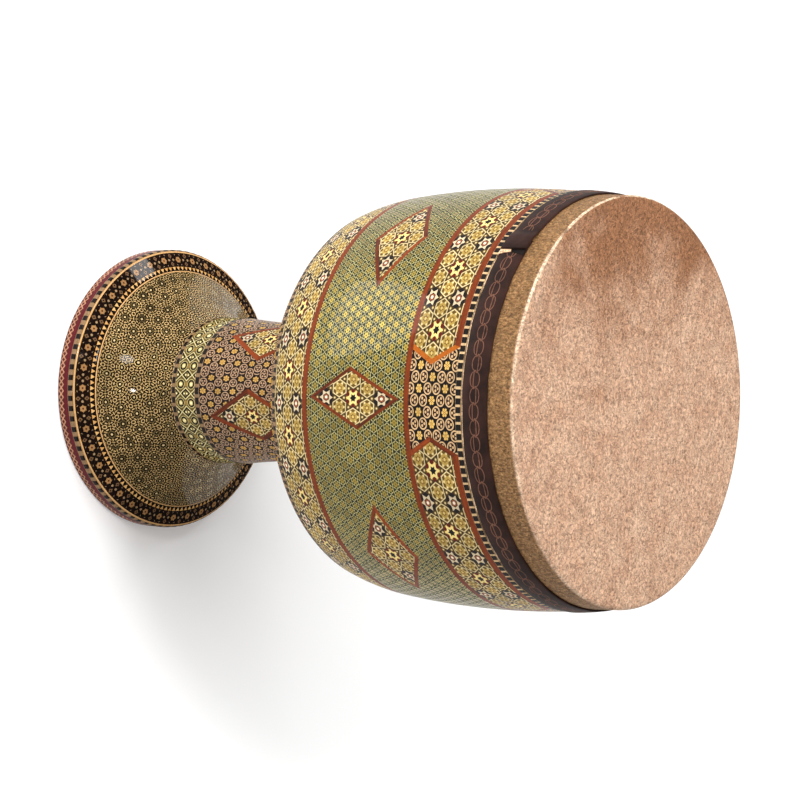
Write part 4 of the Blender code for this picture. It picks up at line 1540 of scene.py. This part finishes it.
@dataclass
class LeatherStrip:
    """The embossed leather strip over the skin's lower part, and its joint.

    Its cross section has shares of its width and of its thickness, and rounded edges.
    """

    section: tuple[Point, ...] = ((0.0, 0.0), (0.0, 0.35), (0.012, 0.75), (0.05, 1.0), (0.35, 1.0), (0.65, 1.0),
                                  (0.95, 1.0), (0.988, 0.75), (1.0, 0.35), (1.0, 0.0))
    width: float = 0.0180
    thickness: float = 0.0011
    foot: float = 0.0014
    joint: float = math.radians(-46.8)
    ramp: float = math.radians(4.4)
    level: float = math.radians(0.66)
    lap: float = math.radians(3.6)
    loop_length: float = 0.0205
    loop_half_width: float = 0.0034
    cord_radius: float = 0.00040
    steps: int = 240
    pressed: float = 0.0001
    slant: float = 0.012
    chain_start: float = math.radians(4.4)
    chain_gap: float = math.radians(8.5)
    scrap_proud: float = 0.00015
    scrap_sunk: float = 0.0005

    def build(self) -> None:
        """Sweep the strip once round, lift its last end over its first, and lay the loops on it."""
        lift = self.thickness + OUTLINE.clearance
        turn = self.joint + FULL_TURN
        angles = [self.joint + (FULL_TURN - self.ramp) * step / self.steps for step in range(self.steps + 1)]
        angles += [turn - self.ramp + (self.ramp - self.level) * step / 6.0 for step in range(1, 7)]
        angles += [turn, turn + self.lap * 0.5, turn + self.lap]
        base = OUTLINE.skin_edge_height + self.foot
        work = bmesh.new()
        rings = []
        for angle in angles:
            climb = min(1.0, max(0.0, (angle - turn + self.ramp) / (self.ramp - self.level)))
            climb = climb * climb * (3.0 - 2.0 * climb)
            ring = []
            for up, out in self.section:
                height = base + self.width * up
                wave = 0.00018 * math.sin(angle * 19.0) + 0.00012 * math.sin(angle * 43.0 + up * 2.0)
                height += wave if up < 0.5 else -abs(wave)
                if up < 0.5:
                    height = max(base, height)
                slant = (0.5 - up) * self.slant if angle in (angles[0], angles[-1]) else 0.0
                radius = OUTLINE.side_radius(height) - self.pressed + climb * lift + out * self.thickness
                ring.append(work.verts.new(around(angle + slant, radius, height)))
            rings.append(ring)
        tube(work, rings)
        bmesh.ops.recalc_face_normals(work, faces=work.faces)
        for face in work.faces:
            face.smooth = len(face.verts) == 4
        mesh = bpy.data.meshes.new("leather_band")
        work.to_mesh(mesh)
        work.free()
        show("leather_band", mesh, LEATHER, "leather_strip")
        self.build_loops()
        # Corners of the two scraps: degrees past the strip's end, and metres over its foot
        end = self.joint + self.lap
        spread = math.radians(1.0)
        # The first scrap is a near-black painted shadow in the joint, the second a real flap of skin
        gap = ((-0.2, 0.0070), (1.1, 0.0086), (1.7, 0.0178), (-0.2, 0.0178))
        flap = ((-0.2, 0.0), (2.2, -0.0006), (1.5, 0.0030), (1.0, 0.0078), (-0.2, 0.0072))
        self.scrap("painted_shadow_in_leather_joint", [(end + a * spread, base + h) for a, h in gap], PAINTED_JOINT_SHADOW, "leather_strip")
        self.scrap("skin_flap_in_leather_joint", [(end + a * spread, base + h) for a, h in flap], SKIN_FLAP,
                   "skin_head")

    def scrap(self, name: str, corners: Sequence[Point], finish: Finish, node: str) -> None:
        """Lay a thin scrap on the strip, where its two ends meet.

        Args:
            name: Name of the piece.
            corners: Angle and height of each corner, against the clock.
            finish: Its finish.
            node: CAD node that it stands for.
        """
        spots = []
        for depth in (self.thickness + self.scrap_proud, self.thickness - self.scrap_sunk):
            spots += [around(angle, OUTLINE.side_radius(height) + depth, height) for angle, height in corners]
        show(name, slab(name, spots), finish, node)

    def build_loops(self) -> None:
        """Lay the embossed chain of ovals and curls along the strip, in one tile per two ovals."""
        middle = OUTLINE.skin_edge_height + self.foot + self.width / 2.0
        radius = OUTLINE.side_radius(middle) + self.thickness
        free = FULL_TURN - self.chain_gap
        count = round(free * radius / self.loop_length)
        length = free * radius / count
        work = bmesh.new()
        for sway, curl, wide in ((1.0, 0.15, 1.0), (-1.0, 0.11, 0.92), (0.6, 0.30, 0.6)):
            self.cord(work, length, sway, curl, wide, middle, radius)
        bmesh.ops.recalc_face_normals(work, faces=work.faces)
        for face in work.faces:
            face.smooth = True
        tile = bpy.data.meshes.new("loop")
        work.to_mesh(tile)
        work.free()
        ring_of_tiles("leather_loops", tile, LEATHER_RAISED, "leather_strip", count,
                      self.joint + self.chain_start, free / count)

    def cord(self, work: bmesh.types.BMesh, length: float, sway: float, curl: float, wide: float,
             middle: float, radius: float) -> None:
        """Add one raised line of the embossing: a wave that curls back on itself.

        Args:
            work: Mesh that gets the line.
            length: Length of the tile round the drum.
            sway: Side to which the line starts.
            curl: How far it curls back, as a share of the tile's length.
            wide: Its width as a share of the chain's.
            middle: Height of the strip's middle.
            radius: Radius of the strip's face.
        """
        rings = []
        sides, steps = 4, 22
        for step in range(steps + 1):
            share = FULL_TURN * step / steps
            along = length * (step / steps + curl * math.sin(2.0 * share) * 0.5)
            up = sway * wide * self.loop_half_width * math.cos(share)
            forward = length / FULL_TURN + length * curl * math.cos(2.0 * share)
            climb = -sway * wide * self.loop_half_width * math.sin(share)
            size = math.hypot(forward, climb)
            ring = []
            for side in range(sides):
                turn = FULL_TURN * side / sides + math.pi / 4.0
                across = self.cord_radius * math.cos(turn)
                out = self.cord_radius * 0.7 * math.sin(turn)
                x = along - across * climb / size
                height = middle + up + across * forward / size
                reach = OUTLINE.side_radius(height) - self.pressed + self.thickness + out - self.pressed
                ring.append(work.verts.new(around(x / radius, reach, height)))
            rings.append(ring)
        tube(work, rings)


@dataclass
class Checks:
    """A narrow line of black blocks let into bone, all round the drum."""

    node: str
    count: int
    block_share: float = 0.60
    height_share: float = 0.86
    turn: float = 0.0
    base: Finish = CHECK_DULL
    step_along: float = SHEET_ROWS
    thickness: float = 0.0004
    proud: float = 0.00003
    stray_share: float = 0.03

    def build(self) -> None:
        """Lay the bone strip, then the blocks."""
        ribbon("bone_" + self.node, self.node, self.base, step_along=self.step_along)
        low, high = OUTLINE.stations[self.node]
        period = FULL_TURN * OUTLINE.girth(self.node) / self.count
        wide, tall = period * self.block_share / 2.0, (high - low) * self.height_share / 2.0
        corners = ((-wide, -tall), (wide, -tall), (wide, tall), (-wide, tall))
        block = Sheet(0.0, (low + high) / 2.0, self.thickness, step_along=self.step_along, proud=self.proud)
        tile = block.mesh(self.node + "_block", [Part(corners)])
        ring_of_tiles("blocks_" + self.node, tile, CHECK_BLACK, self.node, self.count, self.turn,
                      unevenness=self.stray_share * FULL_TURN / self.count)


@dataclass
class FrontBand:
    """Four long framed rosette panels with pointed ends, and four black flower sections."""

    panels: int = 4
    frame_width: float = 0.0033
    top_width: float = 0.0045
    point_slope: float = 0.60
    section_width: float = 0.0461
    star_height: float = 0.3929
    strip_tones: tuple[float, ...] = (0.35, 0.75, 0.55, 0.25, 0.90)

    def build(self) -> None:
        """Lay the panels, their frames and the sections."""
        low, high = OUTLINE.stations["front_band"]
        middle = (low + high) / 2.0
        quarter = FULL_TURN / self.panels
        for place in range(self.panels):
            sheet = Sheet(quarter * (place + 0.5), middle)
            top, bottom = sheet.y_at(low), sheet.y_at(high)
            tip_y = bottom + (top - bottom - self.top_width) / 2.0
            tip = quarter / 2.0 * sheet.radius - self.section_width / 2.0
            at_top = tip - self.point_slope * (top - tip_y)
            at_bottom = tip - self.point_slope * (tip_y - bottom)
            outer = [(-at_bottom, bottom), (at_bottom, bottom), (tip, tip_y), (at_top, top), (-at_top, top),
                     (-tip, tip_y)]
            side = self.frame_width
            inner = shrink(outer, (0.0, side, side, self.top_width, side, side))
            parts = []
            for corner, tone in enumerate(self.strip_tones, 1):
                after = (corner + 1) % len(outer)
                strip = (outer[corner], outer[after], inner[after], inner[corner])
                tone = (tone + place * 0.3) % 1.0
                # The two strips at the right end of the last panel
                if place == self.panels - 1 and corner < 3:
                    tone = AMBER_TONE
                parts.append(Part(strip, tone, (outer[corner], outer[after])))
            number = str(place + 1)
            name = "panel_frame_strips_" + number
            show(name, sheet.mesh(name, parts, whole=False), ORANGE_WOOD, "front_panel_frame_" + number)
            sheet.shift = (-1.5 * FRONT_PITCH, -sheet.y_at(OUTLINE.run_at(self.star_height)))
            name = "rosette_panel_" + number
            show(name, sheet.mesh(name, [Part(tuple(inner))]), FRONT_ROSETTES, "front_panel_" + number)
            section = Sheet(quarter * place, middle)
            half = self.section_width / 2.0
            wide_top = half + self.point_slope * (top - tip_y)
            wide_bottom = half + self.point_slope * (tip_y - bottom)
            parts = [
                Part(((-wide_bottom, bottom), (wide_bottom, bottom), (half, tip_y), (-half, tip_y))),
                Part(((-half, tip_y), (half, tip_y), (wide_top, top), (-wide_top, top))),
            ]
            name = "flower_section_" + number
            show(name, section.mesh(name, parts), FRONT_FLOWERS, "front_flower_section_" + number)


@dataclass(frozen=True)
class Lozenge:
    """A framed lozenge: its half sizes, its frame's width and the lean of its side corners."""

    half_width: float
    half_height: float
    frame_width: float
    lean: float

    def corners(self, rise: float) -> list[Point]:
        """Flat corners: right, top, left and bottom."""
        return [(self.half_width, rise + self.lean), (0.0, rise + self.half_height),
                (-self.half_width, rise - self.lean), (0.0, rise - self.half_height)]

    def frame_parts(self, rise: float, tones: Sequence[float]) -> tuple[list[Part], list[Point]]:
        """The four mitred strips of the frame, and the corners of the opening inside it.

        Args:
            rise: Height of the middle above the field's middle.
            tones: Tone of each strip.

        Returns:
            The strips and the corners.
        """
        outer = self.corners(rise)
        inner = shrink(outer, [self.frame_width] * 4)
        parts = []
        for place, tone in enumerate(tones):
            after = (place + 1) % 4
            strip = (outer[place], outer[after], inner[after], inner[place])
            parts.append(Part(strip, tone, (outer[place], outer[after])))
        return parts, inner

    def field_parts(self, rise: float, left: float, right: float, half: float) -> list[Part]:
        """The four parts of a field round the lozenge.

        Args:
            rise: Height of the lozenge's middle above the field's middle.
            left: Flat x of the field's left edge.
            right: Flat x of its right edge.
            half: Flat y of its upper edge, as far over its middle as the lower one is under it.

        Returns:
            The parts.
        """
        east, north, west, south = self.corners(rise)
        return [
            Part((east, (right, east[1]), (right, half), (north[0], half), north)),
            Part((north, (north[0], half), (left, half), (left, west[1]), west)),
            Part((west, (left, west[1]), (left, -half), (south[0], -half), south)),
            Part((south, (south[0], -half), (right, -half), (right, east[1]), east)),
        ]


@dataclass(frozen=True)
class Inlay:
    """A lozenge let into a field: its own turn in degrees, its rise and that of its middle star."""

    node: str
    lozenge: Lozenge
    finish: Finish
    turn: float
    rise: float
    star_rise: float


def framed_field(node: str, pieces: str, finish: Finish, inlays: Sequence[Inlay], start: float = 0.0) -> None:
    """Lay a field in equal sectors, each with a framed lozenge let into it.

    Args:
        node: CAD node of the field.
        pieces: Name of the field's pieces.
        finish: Finish of the field.
        inlays: The lozenges, one for each sector.
        start: Angle of the first sector's middle.
    """
    low, high = OUTLINE.stations[node]
    half = (high - low) / 2.0
    sector = FULL_TURN / len(inlays)
    for place, inlay in enumerate(inlays):
        sheet = Sheet(start + sector * place + math.radians(inlay.turn), (low + high) / 2.0)
        tones = [(0.15 + 0.37 * place + 0.45 * side) % 1.0 for side in range(4)]
        strips, inner = inlay.lozenge.frame_parts(inlay.rise, tones)
        frame_node = inlay.node.replace("lozenge", "lozenge_frame")
        name = frame_node + "_strips"
        show(name, sheet.mesh(name, strips, whole=False), ORANGE_WOOD, frame_node)
        left, right = (sheet.x_at(start + sector * (place + side)) for side in (-0.5, 0.5))
        parts = inlay.lozenge.field_parts(inlay.rise, left, right, half)
        sheet.shift = (sheet.angle * sheet.radius, 0.0)
        name = f"{pieces}_{place + 1}"
        show(name, sheet.mesh(name, parts), finish, node)
        sheet.shift = (0.0, -inlay.star_rise)
        name = inlay.node + "_inlay"
        show(name, sheet.mesh(name, [Part(tuple(inner))]), inlay.finish, inlay.node)


@dataclass
class BowlField:
    """The green star field round the bowl, with eight framed lozenges, between two orange lines."""

    tall: Point = (0.0208, 0.0393)
    wide: Point = (0.0448, 0.0229)
    tall_frame: float = 0.0023
    wide_frame: float = 0.0030
    turns: tuple[float, ...] = (0.0, 0.7, 0.0, -0.5, 0.0, 0.6, 0.0, -2.1)
    leans: tuple[float, ...] = (0.0036, -0.0050, 0.0015, 0.0020, -0.0020, -0.0015, 0.0025, 0.0026)
    star_rise: float = 0.0004

    def build(self) -> None:
        """Lay the lines, the field and its lozenges."""
        ribbon("upper_orange_ring", "upper_orange_line", ORANGE_WOOD)
        kinds = (("tall", self.tall, self.tall_frame, TALL_ROSETTES),
                 ("wide", self.wide, self.wide_frame, WIDE_ROSETTES))
        inlays = []
        for place, (turn, lean) in enumerate(zip(self.turns, self.leans)):
            kind, size, width, finish = kinds[place % 2]
            lozenge = Lozenge(*size, width, lean)
            inlays.append(Inlay(f"{kind}_lozenge_{place // 2 + 1}", lozenge, finish, turn, 0.0, self.star_rise))
        framed_field("green_field", "green_star_sector", GREEN_STARS, inlays)
        ribbon("lower_orange_ring", "lower_orange_line", ORANGE_WOOD)


@dataclass
class Shoulder:
    """The rosette band of the shoulder, its check line, and the flowers under the bowl."""

    turn: float = math.radians(-11.0)

    def build(self) -> None:
        """Lay the band, the line and the underside's sheets."""
        shift = (self.turn * OUTLINE.girth("shoulder_band"), 0.0)
        ribbon("shoulder_rosettes", "shoulder_band", SHOULDER_ROSETTES, 4, shift, 0.0025)
        Checks("shoulder_check_line", 152, 0.55, 0.80, step_along=0.0010).build()
        ribbon("underside_flowers", "underside_field", UNDERSIDE_FLOWERS, 4, step_along=0.0015, gores=12)


@dataclass
class NeckField:
    """The flower field round the neck, with five framed lozenges."""

    start: float = math.radians(20.4)
    half_width: float = 0.0215
    margin: float = 0.0067
    frame_width: float = 0.0035
    turns: tuple[float, ...] = (0.0, 0.9, -0.6, 0.5, 1.8)
    rises: tuple[float, ...] = (0.0028, 0.0020, 0.0030, 0.0024, 0.0050)
    extras: tuple[float, ...] = (0.0016, -0.0004, 0.0008, 0.0, -0.0018)
    leans: tuple[float, ...] = (0.0026, -0.0012, 0.0010, -0.0018, -0.0012)

    def build(self) -> None:
        """Lay the field and its lozenges."""
        low, high = OUTLINE.stations["neck_field"]
        half_height = (OUTLINE.at(low)[1] - OUTLINE.at(high)[1]) / 2.0 - self.margin
        inlays = []
        for place, (turn, rise, extra, lean) in enumerate(zip(self.turns, self.rises, self.extras, self.leans), 1):
            lozenge = Lozenge(self.half_width, half_height + extra, self.frame_width, lean)
            inlays.append(Inlay(f"neck_lozenge_{place}", lozenge, NECK_ROSETTES, turn, rise, rise))
        framed_field("neck_field", "neck_flower_sector", NECK_FLOWERS, inlays, self.start)


@dataclass
class Collar:
    """The hexagon chain of the collar, between two check lines."""

    turn: float = math.radians(4.7)
    rise: float = -0.0062

    def build(self) -> None:
        """Lay the lines and the chain."""
        Checks("neck_check_line", 45, 0.66, 0.74).build()
        shift = (self.turn * OUTLINE.girth("collar_band"), self.rise)
        ribbon("collar_chain", "collar_band", COLLAR_CHAIN, 2, shift)
        Checks("collar_dot_line", 47, 0.62, 0.74).build()


@dataclass
class Foot:
    """The lines and fields of the foot's rim, with its ring of bone teeth."""

    teeth: int = 138
    gold_share: float = 0.55
    tooth_foot: float = 0.39
    tooth_low: float = 0.96
    tooth_tip: float = 0.90
    tooth_proud: float = 0.00004
    tooth_sunk: float = 0.0004

    def tooth(self) -> Mesh:
        """One flat bone tooth at the front of the drum, a little over the surface.

        Returns:
            The tooth, with its flat coordinates in metres as the UV map "sheet".
        """
        low, high = OUTLINE.stations["sawtooth_ring"]
        middle, radius = (low + high) / 2.0, OUTLINE.girth("sawtooth_ring")
        wide = FULL_TURN * radius / self.teeth * self.tooth_foot
        half = (high - low) / 2.0
        corners = [(-wide, -half * self.tooth_low), (wide, -half * self.tooth_low), (0.0, half * self.tooth_tip)]
        mesh = slab("tooth", [OUTLINE.place(x / radius, middle - y, depth)
                              for depth in (-self.tooth_proud, self.tooth_sunk) for x, y in corners])
        layer = mesh.uv_layers.new(name="sheet")
        for loop in mesh.loops:
            layer.data[loop.index].uv = corners[loop.vertex_index % 3]
        return mesh

    def build(self) -> None:
        """Lay the foot's sheets, teeth and blocks."""
        ribbon("dish_net_sheet", "dish_field", DISH_NET, 4, gores=12)
        ribbon("inner_gold_ground", "inner_gold_line", CHECK_BLACK)
        ribbon("inner_gold_ring", "inner_gold_line", PALE_LINE, share=self.gold_share)
        ribbon("tooth_ground", "sawtooth_ring", CHECK_BLACK)
        ring_of_tiles("bone_teeth", self.tooth(), CHECK_CREAM, "sawtooth_ring", self.teeth)
        ribbon("rim_flower_sheet", "foot_rim_band", RIM_FLOWERS, 4)
        ribbon("outer_cream_ring", "outer_cream_line", PALE_LINE)
        Checks("foot_check_line", 87, 0.50, 0.80, step_along=0.0008).build()
        ribbon("burgundy_ring", "burgundy_band", BURGUNDY, step_along=0.0008)
        ribbon("foot_cross_sheet", "foot_edge_band", FOOT_CROSSES, step_along=0.0010)


@dataclass(frozen=True)
class Lamp:
    """A round soft lamp: its place, what it points at, its width and its power in watts."""

    name: str
    place: Triple
    aim: Triple
    size: float
    power: float
    glossy: bool = True

    def hang(self) -> None:
        """Hang the lamp, out of the camera's sight."""
        light = bpy.data.lights.new(self.name, "AREA")
        light.shape = "DISK"
        light.size = self.size
        light.energy = self.power
        lamp = put(self.name, light)
        lamp.location = self.place
        point(lamp, Vector(self.aim) - Vector(self.place))
        lamp.visible_camera = False
        lamp.visible_glossy = self.glossy


def point(lamp: bpy.types.Object, way: Vector) -> None:
    """Point a lamp along a direction."""
    lamp.rotation_mode = "QUATERNION"
    lamp.rotation_quaternion = way.to_track_quat("-Z", "Y")


LAMPS = (
    Lamp("window", (-1.90, -0.90, 0.95), (0.0, 0.0, 0.25), 1.00, 14.0, glossy=False),
    Lamp("floor_glow", (-0.27, -0.34, 0.03), (-0.10, -0.10, 0.33), 0.30, 0.9),
    Lamp("front_lamp", (0.08, -1.76, 1.12), (0.0, 0.0, 0.10), 0.10, 2.2),
    Lamp("left_lamp", (-0.86, -1.46, 1.22), (0.0, 0.0, 0.10), 0.26, 3.2),
    Lamp("far_window", (-1.30, 0.82, 1.38), (0.0, 0.0, 0.10), 0.34, 4.0),
    Lamp("top_lamp", (-0.56, -0.70, 1.84), (0.0, 0.0, 0.10), 0.30, 12.0),
)


@dataclass
class Studio:
    """A pale floor, soft light and the photograph's camera.

    Head is the place of the head's middle before the camera, in head radii.
    """

    focal_pixels: float = 2103.0
    image_pixels: float = 800.0
    dip: float = math.radians(39.41)
    roll: float = math.radians(1.88)
    spin: float = math.radians(1.1)
    sensor: float = 36.0
    head: Triple = (1.1336, 0.0147, 10.1373)
    head_height: float = 0.4553
    floor_size: float = 6.0
    floor_tone: float = 0.93
    floor_glow: float = 0.08
    room: float = 0.45
    room_in_gloss: float = 0.14
    sun_power: float = 1.75
    sun_width: float = math.radians(55.0)
    sun_way: Triple = (0.35, 0.10, -0.93)

    def build(self) -> None:
        """Set the floor, the lights and the camera."""
        self.floor()
        self.lights()
        self.camera()

    def floor(self) -> None:
        """Lay a pale matt floor."""
        mesh = bpy.data.meshes.new("floor")
        size = self.floor_size
        mesh.from_pydata([(-size, -size, 0), (size, -size, 0), (size, size, 0), (-size, size, 0)], [], [(0, 1, 2, 3)])
        floor = put("floor", mesh)
        paper = bpy.data.materials.new("pale_paper")
        paper.use_nodes = True
        shader = paper.node_tree.nodes["Principled BSDF"]
        feed(shader, {"Base Color": (self.floor_tone, self.floor_tone, self.floor_tone, 1.0), "Roughness": 1.0,
                      "Specular IOR Level": 0.0, "Emission Color": WHITE, "Emission Strength": self.floor_glow})
        mesh.materials.append(paper)

    def lights(self) -> None:
        """Hang soft lights in a white room."""
        scene = bpy.context.scene
        scene.world = bpy.data.worlds.new("white_room")
        scene.world.use_nodes = True
        # The room is white, but it stays dim in the lacquer, as black flags round the drum make it
        tree = scene.world.node_tree
        sky = tree.nodes["Background"]
        gloss = add(tree, "ShaderNodeLightPath").outputs["Is Glossy Ray"]
        strength = add(tree, RAMP, {0: gloss, 3: self.room, 4: self.room_in_gloss})
        feed(sky, {"Color": WHITE, "Strength": strength})
        scene.view_settings.view_transform = "Standard"
        ceiling = bpy.data.lights.new("ceiling", "SUN")
        ceiling.energy = self.sun_power
        ceiling.angle = self.sun_width
        sun = put("ceiling", ceiling)
        sun.visible_glossy = False
        point(sun, Vector(self.sun_way))
        for lamp in LAMPS:
            lamp.hang()

    def camera(self) -> None:
        """Set the camera where the photograph was taken."""
        a, b = self.dip, self.roll
        along = Vector((math.cos(a) * math.cos(b), math.cos(a) * math.sin(b), -math.sin(a)))
        front = Vector((math.sin(a) * math.cos(b), math.sin(a) * math.sin(b), math.cos(a)))
        side = Vector((-math.sin(b), math.cos(b), 0.0))
        x = side * math.cos(self.spin) + front * math.sin(self.spin)
        y = front * math.cos(self.spin) - side * math.sin(self.spin)
        head = Vector(self.head) * OUTLINE.head_radius
        place = Vector((-x.dot(head), -y.dot(head), self.head_height - along.dot(head)))
        axes = [Vector((x[i], y[i], along[i])) for i in range(3)]
        turn = Matrix((axes[0], -axes[1], -axes[2])).transposed().to_4x4()
        data = bpy.data.cameras.new("camera")
        data.sensor_width = self.sensor
        data.lens = self.sensor * self.focal_pixels / self.image_pixels
        camera = put("camera", data)
        camera.matrix_world = Matrix.Translation(place) @ turn
        bpy.context.scene.camera = camera


def main() -> None:
    """Build the drum from the inside out, then the studio."""
    logging.basicConfig(level=logging.INFO, format="%(message)s")
    strip = Checks("rim_check_strip", 160, 0.70, 0.92, base=CHECK_BASE)
    for part in (WoodenBody(), SkinHead(), LeatherStrip(), strip, FrontBand(), BowlField(), Shoulder(),
                 NeckField(), Collar(), Foot(), Studio()):
        part.build()


if __name__ == "__main__":
    main()
